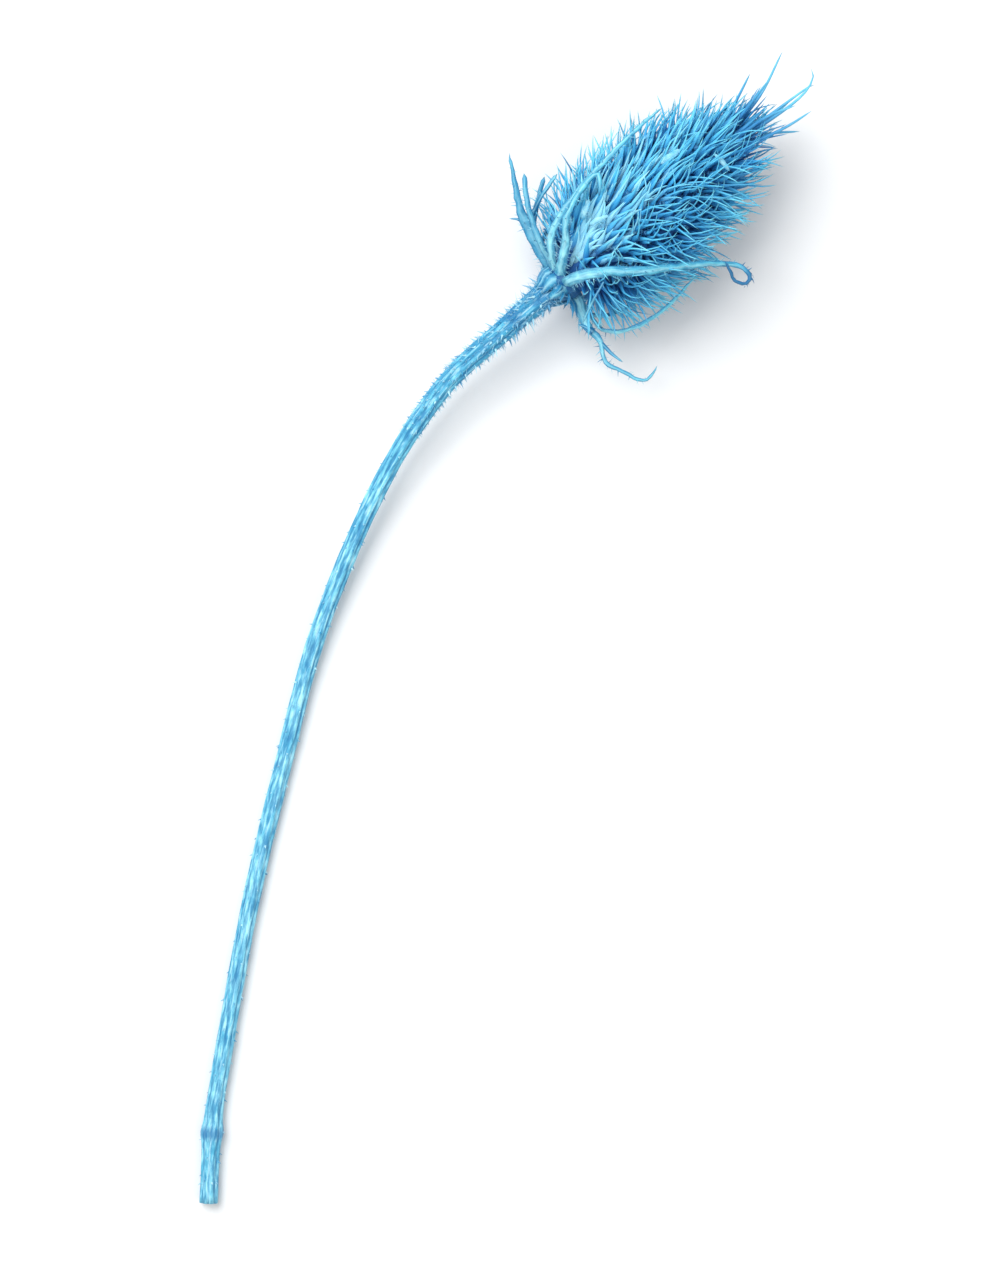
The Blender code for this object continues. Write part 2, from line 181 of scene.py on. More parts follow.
def start_ring(name, sides, half_width, half_thickness, at=0.0):
    """A filled ring lying flat, open in edit mode."""
    bpy.ops.object.select_all(action="DESELECT")
    bpy.ops.mesh.primitive_circle_add(vertices=sides, radius=1, fill_type="NGON", location=(0, 0, 0))
    piece = bpy.context.object
    piece.name = name
    bpy.ops.object.mode_set(mode="EDIT")
    bpy.ops.transform.resize(value=(half_width, half_thickness, 1), center_override=(0, 0, 0))
    bpy.ops.transform.translate(value=(0, 0, at))
    return piece


def pick(piece, test):
    """Selects the points that pass the test, in edit mode."""
    bpy.ops.mesh.select_mode(type="VERT")
    bpy.ops.mesh.select_all(action="DESELECT")
    bpy.ops.object.mode_set(mode="OBJECT")
    for vertex in piece.data.vertices:
        vertex.select = test(vertex.co)
    bpy.ops.object.mode_set(mode="EDIT")


def grow(stations):
    """Extrudes the selected face through (height, half width, half thickness) and keeps it selected."""
    for (z0, w0, t0), (z1, w1, t1) in zip(stations, stations[1:]):
        bpy.ops.mesh.extrude_region_move(TRANSFORM_OT_translate={"value": (0, 0, z1 - z0)})
        bpy.ops.transform.resize(value=(w1 / w0, t1 / t0, 1), center_override=(0, 0, z1))


def finish_piece(piece, pointed=True):
    """Closes the tip, points the faces outwards, smooths them and remembers the straight shape."""
    if pointed:
        bpy.ops.mesh.merge(type="CENTER")
    bpy.ops.mesh.select_all(action="SELECT")
    bpy.ops.mesh.normals_make_consistent(inside=False)
    bpy.ops.object.mode_set(mode="OBJECT")
    bpy.ops.object.shade_smooth()
    remember_straight(piece)
    return piece


def points_of(piece):
    """The piece's points as rows of numbers."""
    rows = np.empty(3 * len(piece.data.vertices))
    piece.data.vertices.foreach_get("co", rows)
    return rows.reshape(-1, 3)


def move_points(piece, rows):
    piece.data.vertices.foreach_set("co", rows.ravel())
    piece.data.update()


def store(mesh, name, values, kind="FLOAT"):
    """Keeps one value for each point of the mesh, as an attribute that a finish can read."""
    kept = mesh.attributes.get(name) or mesh.attributes.new(name, kind, "POINT")
    kept.data.foreach_set("value" if kind == "FLOAT" else "vector", values)


def remember_straight(piece):
    """Keeps the place of each point on the straight piece, in millimetres."""
    store(piece.data, "straight", points_of(piece).ravel(), "FLOAT_VECTOR")


def copy_of(piece, name, matrix=Matrix.Identity(4), tone=0.5):
    """A copy with its own mesh, placed by the matrix, in a tone from 0, the deepest, to 1, the palest."""
    mesh = piece.data.copy()
    mesh.transform(matrix)
    store(mesh, "tone", [tone] * len(mesh.vertices))
    copy = bpy.data.objects.new(name, mesh)
    bpy.context.scene.collection.objects.link(copy)
    return copy


def join(name, pieces):
    """Makes one piece of many."""
    alone(pieces[0])
    for piece in pieces:
        piece.select_set(True)
    bpy.ops.object.join()
    pieces[0].name = name
    return pieces[0]


def discard(*pieces):
    for piece in pieces:
        bpy.data.objects.remove(piece)


# %% [markdown]
# ## Bending a piece along its route
# The straight piece is bent the way that a wire is: each of its rings moves to its place on the route and
# turns with it. To turn a ring we need two directions across the route. The bracts carry their first
# direction along without twisting it, and the stem keeps one of them pointing up.
#
# Two more helpers change a piece a little: one crumples it by a smooth noise, the other keeps it out of the
# table. The noise gets a seed, so that every run makes the same dents.

# %% Helpers for bending
DENT_SEED = 5
noise.seed_set(DENT_SEED)


def frames_along(route, facing, keep=False):
    """Distances, points, and the directions across, outwards and ahead, along a route.

    The facing is one direction or one for each point. It is carried along untwisted, or kept."""
    points = np.array([tuple(p) for p in route])
    ahead = np.gradient(points, axis=0)
    ahead /= np.linalg.norm(ahead, axis=1)[:, None]
    aims = np.broadcast_to(np.array(facing, dtype=float), points.shape)
    outward = []
    latest = aims[0]
    for aim, direction in zip(aims, ahead):
        latest = aim if keep else latest
        latest = latest - direction * latest.dot(direction)
        latest = latest / np.linalg.norm(latest)
        outward.append(latest)
    outward = np.array(outward)
    return distances(route), points, np.cross(outward, ahead), outward, ahead


def bend_along(piece, frames):
    """Bends a straight piece, which grew up along Z in millimetres, along the route."""
    reached, points, across, outward, ahead = frames
    rows = points_of(piece)
    place = rows[:, 2] * MM
    inside = np.clip(place, 0, reached[-1])

    def read(values):
        return np.stack([np.interp(inside, reached, values[:, k]) for k in range(3)], axis=1)

    bent = read(points) + read(across) * rows[:, :1] * MM + read(outward) * rows[:, 1:2] * MM
    bent += read(ahead) * (place - inside)[:, None]
    move_points(piece, bent)


def crumple(piece, amount, size, seed):
    """Moves the points by a smooth noise, as drying does, in dents of this size in millimetres."""
    rows = points_of(piece)
    shift = Vector((seed, 3 * seed, 0))
    dents = [noise.noise_vector(Vector(row) / size + shift) for row in rows]
    move_points(piece, rows + np.array([tuple(dent) for dent in dents]) * amount)


def press(piece, softness):
    """Presses what would reach into the table up to it, and bends what comes near."""
    rows = points_of(piece)
    depth = rows[:, 2] / (softness * MM)
    rows[:, 2] = np.where(depth < 1, np.exp(np.minimum(depth, 1) - 1), depth) * softness * MM
    move_points(piece, rows)


# %% [markdown]
# ## The routes of the bracts
# The bracts come first, because the spines have to keep clear of them. Each one leaves the collar, bends
# around the head and ends in the air: one curls into a small loop, one has dried in a zigzag, and three
# stand away to the left. With each go four widths: after its foot, half way, near its tip and at the very
# end. A search tree of points along them tells how close anything else comes. Four of them are left out
# of it as far as their roots lie hidden under the spines.

# %% Where the bracts run
BRACTS = {
    "upper_arc": (
        (2.9, 1.7, 0.9, 0.3),
        ((-3.3, 0.6, 19.4), (-4.1, 4.2, 24.0), (-4.2, 8.3, 27.4), (-1.6, 13.6, 30.2), (3.4, 19.8, 32.2),
         (10.0, 27.0, 32.6), (16.4, 33.3, 32.2), (21.9, 38.0, 31.2)),
    ),
    "looped": (
        (3.3, 2.3, 0.9, 0.7),
        ((-0.7, -2.6, 20.0), (0.4, -2.0, 25.5), (4.6, -1.2, 31.0), (10.3, -0.7, 33.3), (17.5, -0.6, 32.5),
         (24.0, 0.5, 30.6), (31.7, 1.5, 27.4), (37.4, 1.9, 25.2), (41.0, 1.2, 24.4), (43.0, -1.0, 24.0),
         (41.6, -2.9, 24.0), (39.2, -2.0, 24.4), (38.0, 0.1, 25.8), (36.8, 2.2, 27.0)),
    ),
    "lower_arc": (
        (2.4, 1.6, 1.0, 0.3),
        ((1.6, -4.0, 14.6), (4.8, -8.4, 13.4), (7.6, -12.2, 15.4), (11.0, -13.5, 17.6), (15.0, -12.8, 19.2),
         (21.0, -9.8, 20.2), (25.8, -5.6, 21.0), (30.2, -0.6, 21.8)),
    ),
    "left_outer": (
        (4.8, 2.4, 0.8, 0.2),
        ((-4.0, 1.9, 16.6), (-7.0, 6.6, 17.6), (-9.6, 10.8, 18.8), (-11.2, 14.4, 19.8), (-12.3, 18.8, 21.0),
         (-13.4, 24.3, 22.2), (-13.9, 28.6, 23.0)),
    ),
    "left_upper": (
        (2.2, 1.5, 1.2, 0.9),
        ((-3.7, 1.5, 18.4), (-6.2, 6.2, 21.6), (-8.6, 11.8, 23.8), (-10.1, 17.6, 24.8), (-10.7, 23.3, 25.0)),
    ),
    "left_inner": (
        (2.2, 1.5, 1.1, 0.7),
        ((-3.8, 1.6, 14.6), (-6.4, 6.0, 13.4), (-8.4, 11.4, 13.0), (-7.4, 17.8, 13.2), (-5.8, 24.0, 13.6)),
    ),
    "zigzag": (
        (4.2, 1.2, 0.7, 0.2),
        ((1.2, -4.0, 15.0), (3.2, -8.6, 14.2), (4.6, -12.0, 13.8), (7.6, -15.2, 13.6), (8.2, -18.2, 13.4),
         (9.4, -20.9, 13.2), (13.5, -22.9, 12.8), (18.6, -24.9, 12.6), (21.5, -21.2, 12.4)),
    ),
    "short_front": (
        (3.7, 1.8, 1.1, 0.5),
        ((-2.3, -0.7, 20.2), (-1.7, 2.4, 25.8), (-0.9, 7.0, 30.6), (-0.7, 11.8, 33.6), (1.2, 16.0, 35.2),
         (3.6, 19.2, 35.7), (6.4, 21.8, 35.5), (7.0, 19.4, 36.4), (6.7, 16.2, 36.0)),
    ),
    "under_left": (
        (2.3, 1.6, 0.9, 0.3),
        ((-3.0, 1.1, 13.6), (-6.2, 4.6, 8.2), (-6.0, 10.0, 4.2), (-1.5, 16.4, 2.6), (4.0, 22.2, 2.0),
         (9.8, 26.5, 1.8)),
    ),
    "under_right": (
        (2.3, 1.6, 0.9, 0.3),
        ((0.5, -3.2, 13.6), (3.7, -7.4, 8.2), (9.5, -8.3, 4.2), (17.1, -4.6, 2.6), (24.2, 0.9, 2.0),
         (30.7, 7.4, 1.8)),
    ),
}
TWIGS = {
    "left_twig": ((1.3, 1.0, 0.8, 0.6), ((-8.6, 14.0, 20.0), (-6.4, 18.4, 22.0), (-2.7, 23.6, 22.6))),
    "left_thorn": ((1.4, 0.7, 0.3, 0.1), ((-9.8, 11.6, 18.6), (-12.0, 13.0, 18.8), (-14.1, 13.4, 18.6))),
    "zigzag_branch": ((1.3, 0.8, 0.5, 0.2), ((7.6, -15.4, 13.6), (10.3, -18.4, 13.8), (13.2, -20.6, 14.0))),
    "zigzag_thorn": ((2.0, 1.0, 0.4, 0.1), ((6.0, -13.2, 14.0), (4.4, -12.2, 14.2), (2.4, -11.6, 14.2))),
    "thin_line": ((0.6, 0.6, 0.5, 0.2), ((8.0, -3.0, 31.0), (5.6, -7.2, 29.2), (3.2, -12.0, 23.0))),
}
FOOT = 5.2
FOOT_PLACES = ((-7.6, 2.9), (-3.4, 4.9))


def bract_foot(first):
    """Where a bract that starts at this point springs from the stem, further down the collar."""
    offset = first - HEAD_BASE
    out = (offset - AXIS * offset.dot(AXIS)).normalized()
    return out, [in_head(along, 0, 0) + out * away * MM for along, away in FOOT_PLACES]


bract_routes = {}
for name, (_, points) in BRACTS.items():
    points = [over_table(*p) for p in points]
    bract_routes[name] = smooth_curve(bract_foot(points[0])[1] + points, 12)
HIDDEN_ROOTS = {"lower_arc": 31.0, "zigzag": 16.0, "under_left": 11.0, "under_right": 14.0}
bare = [
    point
    for name, route in bract_routes.items()
    for place, point in zip(distances(route) / MM, route)
    if place > HIDDEN_ROOTS.get(name, 0.0)
]
near_bracts = KDTree(len(bare))
for count, point in enumerate(bare):
    near_bracts.insert(point, count)
near_bracts.balance()
print({name: round(distances(route)[-1] / MM, 1) for name, route in bract_routes.items()}, "mm long")

# %% [markdown]
# ## The core
# Under the scales the head is a solid egg. On the real plant it is the swollen end of the stem. It is
# hardly seen, only as darkness between the scales, so a turned shape is enough: a circle, extruded and
# scaled along the outline that was measured, and a little thinner than that.

# %% Grow the core
CORE_OUTLINE = (
    (0, 4.8), (4, 8.6), (10, 11.2), (19, 12.2), (29, 11.3), (37, 9.8), (43.5, 7.4), (48, 5.0), (51, 2.6),
    (52.4, 0),
)
CORE_ROOT = (-0.3, 4.7, 4.7)
THINNER = 0.97
outline = smooth_curve([(along, radius, 0) for along, radius in CORE_OUTLINE], 4)
core = start_ring("core", 40, *CORE_ROOT[1:], at=CORE_ROOT[0])
grow([CORE_ROOT] + [(p.x, p.y * THINNER, p.y * THINNER) for p in outline[1:-1]])
finish_piece(core)
core.data.transform(HEAD_PLACE)
print("core:", len(core.data.polygons), "faces")

# %% [markdown]
# ## One scale with its spine
# A teasel's scale is a small boat: narrow at its root, then a blade about 1.3 millimetres wide with its
# sides turned up, and then a long stiff spine. We grow two kinds from a ring with six sides: one that
# stands out with a long thin spine, and a flatter one whose blade runs further, for the side where they
# lie combed. The two side points of the ring are lifted first, and every ring after it inherits that
# hollow.

# %% Grow one scale
STANDING = (
    (-1.6, 0.45, 0.28), (0.6, 0.6, 0.28), (2.4, 0.66, 0.23), (3.6, 0.5, 0.2), (4.8, 0.25, 0.16),
    (7.0, 0.17, 0.13), (8.7, 0.11, 0.09), (10.0, 0.035, 0.035),
)
COMBED = (
    (-1.6, 0.45, 0.26), (0.6, 0.58, 0.25), (2.6, 0.64, 0.2), (4.6, 0.55, 0.18), (6.4, 0.34, 0.15),
    (7.8, 0.2, 0.12), (9.0, 0.11, 0.08), (10.0, 0.035, 0.035),
)


def grow_scale(name, stations):
    """A straight scale, ten millimetres long and hollow along its upper side."""
    piece = start_ring(name, 6, stations[0][1], stations[0][2], at=stations[0][0])
    pick(piece, lambda p: abs(p.x) > 0.3)
    bpy.ops.transform.translate(value=(0, 0.34, 0))
    bpy.ops.mesh.select_all(action="SELECT")
    bpy.ops.mesh.select_mode(type="FACE")
    grow(stations)
    return finish_piece(piece)


# %% [markdown]
# ## Hairs
# Fine hairs stand along the edges of a scale, on the feet of the bracts and on the stem. One hair is a
# cone with three sides, a tenth of a millimetre thick. It is copied wherever one is needed, made longer
# or thicker, and each scale gets four of them.

# %% Grow one hair, then the scales
bpy.ops.object.select_all(action="DESELECT")
bpy.ops.mesh.primitive_cone_add(vertices=3, radius1=0.045, radius2=0, depth=1, location=(0, 0, 0.5))
bpy.ops.object.transform_apply()
one_hair = bpy.context.object
one_hair.name = "one_hair"


def hair_at(root, direction, length, tone=0.5, thickness=1.0):
    """A copy of the hair at its root on a straight piece, in its millimetres."""
    turn = Vector(direction).to_track_quat("Z", "Y").to_matrix().to_4x4()
    size = Matrix.Diagonal((thickness, thickness, length, 1))
    copy = copy_of(one_hair, "hair_copy", Matrix.Translation(root) @ turn @ size, tone)
    remember_straight(copy)
    return copy


def fringed(scale):
    """Adds two pairs of hairs to the edges of a scale."""
    hairs = []
    for side in (-1, 1):
        for place, reach in ((1.6, 0.8), (3.2, 1.1)):
            hairs.append(hair_at((side * 0.52, 0.3, place), (side, 0.5, 0.9), reach))
    return join(scale.name, [scale, *hairs])


standing_scale = fringed(grow_scale("standing_scale", STANDING))
combed_scale = fringed(grow_scale("combed_scale", COMBED))
print("one scale:", len(standing_scale.data.polygons), "faces")

# %% [markdown]
# ## Scales that differ
# No two spines have dried alike. The standing scale is bent a little into six variants, and into six more
# so much that they curl like commas. The combed one gets five that stay nearly straight. Only the spine
# bends, and more towards its tip, so the bend grows with the square of the distance. One more variant has
# lost most of its spine, as some scales always have: a cut across the mesh takes it off.

# %% Bend the variants
STANDING_BENDS = ((0.0, 0.02), (0.0, 0.06), (0.01, -0.03), (0.05, 0.03), (-0.05, 0.03), (0.02, 0.05))
CURLED_BENDS = ((0.07, 0.06), (-0.07, 0.06), (0.1, 0.01), (-0.1, 0.02), (0.03, 0.1), (-0.03, 0.09))
COMBED_BENDS = ((0.0, -0.006), (0.012, 0.008), (-0.014, 0.004), (0.02, -0.016), (-0.008, -0.024))


def bent_copy(piece, name, sideways, forwards, start=3.5):
    """A copy whose spine bends from this height on, by so much to the side and towards the crown."""
    copy = copy_of(piece, name)
    rows = points_of(copy)
    past = np.clip(rows[:, 2] - start, 0, None) ** 2
    rows[:, 0] += sideways * past
    rows[:, 1] += forwards * past
    move_points(copy, rows)
    return copy


standing_variants = [bent_copy(standing_scale, "standing", *bend) for bend in STANDING_BENDS]
curled_variants = [bent_copy(standing_scale, "curled", *bend, start=3.0) for bend in CURLED_BENDS]
combed_variants = [bent_copy(combed_scale, "combed", *bend) for bend in COMBED_BENDS]
stub = copy_of(standing_scale, "scale_stub")
alone(stub)
bpy.ops.object.mode_set(mode="EDIT")
bpy.ops.mesh.select_all(action="SELECT")
bpy.ops.mesh.bisect(plane_co=(0, 0, 5.6), plane_no=(0.3, 0, 1), clear_outer=True, use_fill=True)
bpy.ops.object.mode_set(mode="OBJECT")
print("variants:", len(standing_variants), len(curled_variants), len(combed_variants), "and a stub")

# %% [markdown]
# ## Spirals of scales
# The scales sit where a growing tip leaves room: each one a golden angle, 137.5 degrees, round from the
# one before. That alone gives the crossing spirals of a teasel. To keep them evenly dense on an egg, each
# step moves up by the same area.
#
# Angles around the head are counted in degrees from its lower right side, with 90 towards the viewer and
# 180 on the upper left. At the base the spines lean back, around the belly they stand out, and near the
# crown they point ahead. On the upper left they lie combed towards the crown, which is read from tables
# of their own.

# %% Where the scales stand and lean
SPINE_RISE = ((0, -20), (5, -4), (11, 15), (20, 27), (30, 35), (37, 43), (43.5, 53), (48, 67), (52, 84))
COMBED_RISE = ((0, 46), (5, 55), (11, 61), (20, 64), (30, 66), (40, 68), (48, 76), (52, 84))
COMBED_SIDE = ((0, 108), (16, 114), (28, 124), (40, 134), (52, 138))
FACING_SIDE = 55
FACING_PART = ((0, 0), (8, 1), (40, 1), (50, 0))
GOLDEN_ANGLE = math.radians(137.508)
SCALE_COUNT = 1350


def radial(angle):
    return ASIDE * math.cos(angle) + UP * math.sin(angle)


def near_angle(angle, middle, width):
    """1 at the middle angle and less to both sides of it, all in degrees but the first."""
    off = (math.degrees(angle) - middle + 180) % 360 - 180
    return math.exp(-((off / width) ** 2))


def combing(angle, along):
    """1 where the spines are combed flat, on the upper left, and 0 where they stand."""
    return near_angle(angle, read_table(COMBED_SIDE, along), 42)


def lean(along, angle):
    """How far a spine leans to the crown, in degrees."""
    flat = combing(angle, along)
    standing = read_table(SPINE_RISE, along)
    standing -= 15 * near_angle(angle, FACING_SIDE, 38) * read_table(FACING_PART, along)
    standing -= 26 * math.exp(-((along / 6) ** 2)) * near_angle(angle, -30, 60)
    return standing * (1 - flat) + read_table(COMBED_RISE, along) * flat


def spiral(count, first, offset=0.0):
    """Distance along the axis, radius and angle of each place on the core, evenly spread by area."""
    fine = [p for p in smooth_curve([(x, r, 0) for x, r in CORE_OUTLINE], 16) if p.x >= first]
    areas = np.concatenate([[0], np.cumsum([(b - a).length * (a.y + b.y) for a, b in zip(fine, fine[1:])])])
    for i in range(count):
        wanted = areas[-1] * (i + 0.5) / count
        along = float(np.interp(wanted, areas, [p.x for p in fine]))
        radius = float(np.interp(wanted, areas, [p.y for p in fine]))
        yield along, radius, i * GOLDEN_ANGLE + offset


def clear_length(start, direction, wanted, gap=1.2, steps=14):
    """How far a spine can reach, in millimetres, before it comes too near a bract."""
    for i in range(1, steps + 1):
        place = start + direction * wanted * MM * i / steps
        if near_bracts.find(place)[2] < gap * MM:
            return wanted * (i - 1) / steps
    return wanted


def stand_on_core(along, radius, angle, rise):
    """Where a piece stands on the core, which way it points, and its turn: Z ahead, Y towards the crown."""
    out = radial(angle)
    ahead = out * math.cos(rise) + AXIS * math.sin(rise)
    crownwards = AXIS * math.cos(rise) - out * math.sin(rise)
    turn = Matrix((crownwards.cross(ahead), crownwards, ahead)).transposed().to_4x4()
    return in_head(along, 0, 0) + out * radius * MM, ahead, turn


def set_down(place, turn, roll, stretch, tilt=0.0):
    """The matrix that sets a straight piece down there, tilted sideways, rolled and made longer."""
    turn = turn @ Matrix.Rotation(tilt, 4, "Y")
    size = Matrix.Diagonal((MM, MM, MM * stretch, 1))
    return Matrix.Translation(place) @ turn @ Matrix.Rotation(roll, 4, "Z") @ size


# %% [markdown]
# ## Setting the scales
# Every place gets its own scale, with a length, a lean, a tilt, a roll and a tone that are drawn at
# random. Many of those that face the viewer have curled, and so have some at the upper left edge. Those
# on the lower right are the longest. The combed ones are broader and paler, partly bleached and partly a
# painted highlight of the lit upper left, and near the crown all are deep blue. A spine that would run
# into a bract ends before it, and where less than three millimetres are left there is none.

# %% Place the scales
SPINE_LENGTH = ((0, 9.6), (5, 10.4), (30, 10.3), (44, 10), (52, 11))
LONGER_PART = ((0, 1.0), (16, 1.0), (30, 0.0))
BLEACH_AND_HIGHLIGHT_PART = ((0, 1.0), (14, 1.0), (30, 0.5), (48, 0.0))
BROAD_PART = ((0, 1.0), (12, 1.0), (26, 0.0))
TONE_PART = ((0, 1.0), (34, 1.0), (50, 0.4))
SHORTEST = 3
draw = random.Random(3)
copies = []
for along, radius, angle in spiral(SCALE_COUNT, 1.2):
    angle += math.radians(draw.uniform(-4, 4))
    flat = combing(angle, along)
    facing = near_angle(angle, FACING_SIDE, 42) * (1 - flat)
    curly = 0.9 * facing + 0.45 * near_angle(angle, 178, 26)
    rise = math.radians(lean(along, angle) + draw.gauss(0, 9 - 4 * flat + 5 * facing))
    wanted = read_table(SPINE_LENGTH, along) * draw.uniform(0.72, 1.18) * (1 - 0.12 * flat)
    wanted *= 1 + 0.2 * near_angle(angle, -5, 45) * read_table(LONGER_PART, along)
    place, ahead, turn = stand_on_core(along, radius, angle, rise)
    length = clear_length(place, ahead, wanted)
    if length < SHORTEST or (flat > 0.35 and along < 2.6):
        continue
    # Paler on the combed upper left near the base: partly bleached, partly a painted highlight where the
    # light falls.
    bleach_and_highlight = flat * read_table(BLEACH_AND_HIGHLIGHT_PART, along)
    shape = draw.choice(combed_variants if flat > draw.uniform(0.2, 0.6) else standing_variants)
    shape = draw.choice(curled_variants) if draw.random() < curly else shape
    shape = stub if draw.random() < 0.03 else shape
    tilt = draw.gauss(0, 0.2 - 0.06 * flat)
    matrix = set_down(place, turn, draw.gauss(0, 0.3), length / 10, tilt)
    broader = Matrix.Diagonal((1 + 0.5 * flat * read_table(BROAD_PART, along), 1, 1, 1))
    tone = (draw.random() * 0.55 + 0.45 * bleach_and_highlight) * read_table(TONE_PART, along)
    copies.append(copy_of(shape, "scale_copy", matrix @ broader, tone))
scales = join("scales", copies)
press(scales, 1.2)
discard(standing_scale, combed_scale, stub, *standing_variants, *curled_variants, *combed_variants)
print("scales:", len(copies), "of them,", len(scales.data.polygons), "faces")

# %% [markdown]
# ## Chaff between the scales
# A flower sat behind each scale. What is left of some are small papery cups, paler than the core. One cup
# is a six-sided ring that flares, with its inside pushed down, and about one place in seven between the
# scales still holds one.

# %% Grow and place the cups
CUP_SHARE = 0.14
CUP = ((-0.5, 0.35), (1.2, 0.5), (2.4, 0.62))
cup = start_ring("cup", 6, CUP[0][1], CUP[0][1], at=CUP[0][0])
grow([(height, radius, radius) for height, radius in CUP])
bpy.ops.mesh.inset(thickness=0.12)
bpy.ops.transform.translate(value=(0, 0, -1.6))
finish_piece(cup, pointed=False)
copies = []
for along, radius, angle in spiral(SCALE_COUNT, 3.0, offset=math.radians(68)):
    if draw.random() < CUP_SHARE and along < 46:
        place, _, turn = stand_on_core(along, radius, angle, math.radians(lean(along, angle) * 0.8))
        matrix = set_down(place, turn, draw.uniform(0, 3), draw.uniform(0.8, 1.25))
        copies.append(copy_of(cup, "cup_copy", matrix, draw.random()))
chaff = join("chaff", copies)
press(chaff, 1.0)
discard(cup)
print("cups:", len(copies))

# %% [markdown]
# ## The crown
# At the top of the head the spines become long thin awns, which spread a little and bend where they
# dried. Each is grown straight, thick at its root, then bent along a route from inside the core over a
# knee to its tip. Nine strong ones are placed one by one, and twenty-two finer ones fill the tuft, again
# by the golden angle.

# %% Grow the awns
AWN_RINGS = 14
AWN_PROFILE = ((0, 1.3), (0.25, 1.1), (0.4, 0.75), (0.7, 0.6), (0.9, 0.44), (1, 0.14))
AWNS = (
    ((61.0, -3.2, 2.2), (72.7, -8.1, 3.0)),
    ((66.0, 3.0, 3.4), (73.4, 1.9, 2.4), (75.4, -0.9, 1.6)),
    ((70.6, 2.2, 2.8), (73.4, 2.9, 2.2)),
    ((60.5, 6.0, 4.0), (68.8, 7.4, 6.4)),
    ((58.0, -3.0, 6.0), (66.0, -4.6, 9.6)),
    ((60.0, 1.8, -5.0), (68.5, 1.2, -8.0)),
    ((57.0, -6.4, -2.0), (64.0, -9.6, -5.6)),
    ((57.5, 4.2, -4.0), (64.5, 8.6, -6.8)),
    ((59.0, 1.6, 6.6), (66.5, 4.2, 9.4)),
)


def grow_awn(points, root_along, thickness):
    """An awn from inside the core over its knees to its tip."""
    _, aside, up = points[0]
    route = smooth_curve([in_head(*p) for p in ((root_along, aside * 0.3, up * 0.3), *points)], 10)
    length = distances(route)[-1] / MM
    shares = [i / AWN_RINGS for i in range(AWN_RINGS + 1)]
    stations = [(length * share, read_table(AWN_PROFILE, share) * thickness) for share in shares]
    piece = start_ring("awn", 6, stations[0][1], stations[0][1])
    grow([(place, size, size * 0.8) for place, size in stations])
    finish_piece(piece)
    bend_along(piece, frames_along(route, UP))
    return copy_of(piece, "awn_copy", tone=draw.random()), piece


made = [grow_awn(points, 46.5, 0.6) for points in AWNS]
for i in range(22):
    angle = i * GOLDEN_ANGLE
    spread = 2.0 + 6.5 * ((i * 0.618) % 1)
    reach = 66 - spread * 0.8 + draw.uniform(-3, 3)
    side = Vector((math.cos(angle), math.sin(angle))) * spread
    bow = draw.uniform(0.4, 0.62)
    knee = (49 + (reach - 49) * 0.5, side.x * bow, side.y * bow)
    made.append(grow_awn((knee, (reach, side.x, side.y)), 47.5, 0.36))
awns = join("awns", [copy for copy, _ in made])
discard(*(piece for _, piece in made))
print("awns:", len(made))

# %% [markdown]
# ## The collar
# Where the stem becomes the head it flares into a short collar, and the roots of the bracts run into it.
# It is turned like the core, with its sides pinched in eight places where two bracts meet. Like a bract
# it remembers how near each point is to an edge, here to a pinch, so that the same finish paints shade in
# the pinches and a highlight on the bulges between them.

# %% Grow the collar
COLLAR = (
    (-5.6, 3.3), (-5.0, 3.95), (-4.2, 4.35), (-3.2, 4.8), (-2.2, 5.15), (-1.2, 5.3), (-0.4, 5.1), (0.1, 4.6),
)
PINCHES = 8
collar = start_ring("collar", 32, COLLAR[0][1], COLLAR[0][1], at=COLLAR[0][0])
grow([(along, radius, radius) for along, radius in COLLAR])
bpy.ops.mesh.inset(thickness=1.0)
bpy.ops.mesh.inset(thickness=2.0)
bpy.ops.mesh.select_all(action="SELECT")
finish_piece(collar, pointed=False)
rows = points_of(collar)
waves = np.cos(PINCHES * np.arctan2(rows[:, 1], rows[:, 0]))
rows[:, :2] *= (0.96 + 0.04 * waves)[:, None]
move_points(collar, rows)
# Near 1 in the pinches and near 0 on the bulges: the bract finish paints shade in the pinches and a
# highlight on the bulges.
store(collar.data, "edge_shading", 0.55 - 0.45 * waves)
collar.data.transform(HEAD_PLACE)
print("collar:", len(collar.data.polygons), "faces")

# %% [markdown]
# ## Prickles
# One prickle serves the stem and the bracts: a broad foot, and a point that leans a little. It is grown
# from a ring with five sides and copied hundreds of times, so it has only a few faces.

# %% Grow one prickle
PRICKLE = ((-0.25, 0.5, 0.62), (0.08, 0.3, 0.38), (0.35, 0.18, 0.22), (0.7, 0.1, 0.12), (1.0, 0.02, 0.02))
prickle = start_ring("prickle", 5, *PRICKLE[0][1:], at=PRICKLE[0][0])
grow(PRICKLE)
finish_piece(prickle)
rows = points_of(prickle)
rows[:, 1] += 0.16 * rows[:, 2] ** 2
move_points(prickle, rows)


def prickle_at(place, outward, ahead, length, thickness, tone):
    """A prickle on a straight piece, in its millimetres, leaning ahead."""
    outward = Vector(outward).normalized()
    ahead = (Vector(ahead) - outward * outward.dot(Vector(ahead))).normalized()
    turn = Matrix((ahead.cross(outward), ahead, outward)).transposed().to_4x4()
    size = Matrix.Diagonal((thickness, thickness, length, 1))
    copy = copy_of(prickle, "prickle_copy", Matrix.Translation(place) @ turn @ size, tone)
    remember_straight(copy)
    return copy


print("one prickle:", len(prickle.data.polygons), "faces")

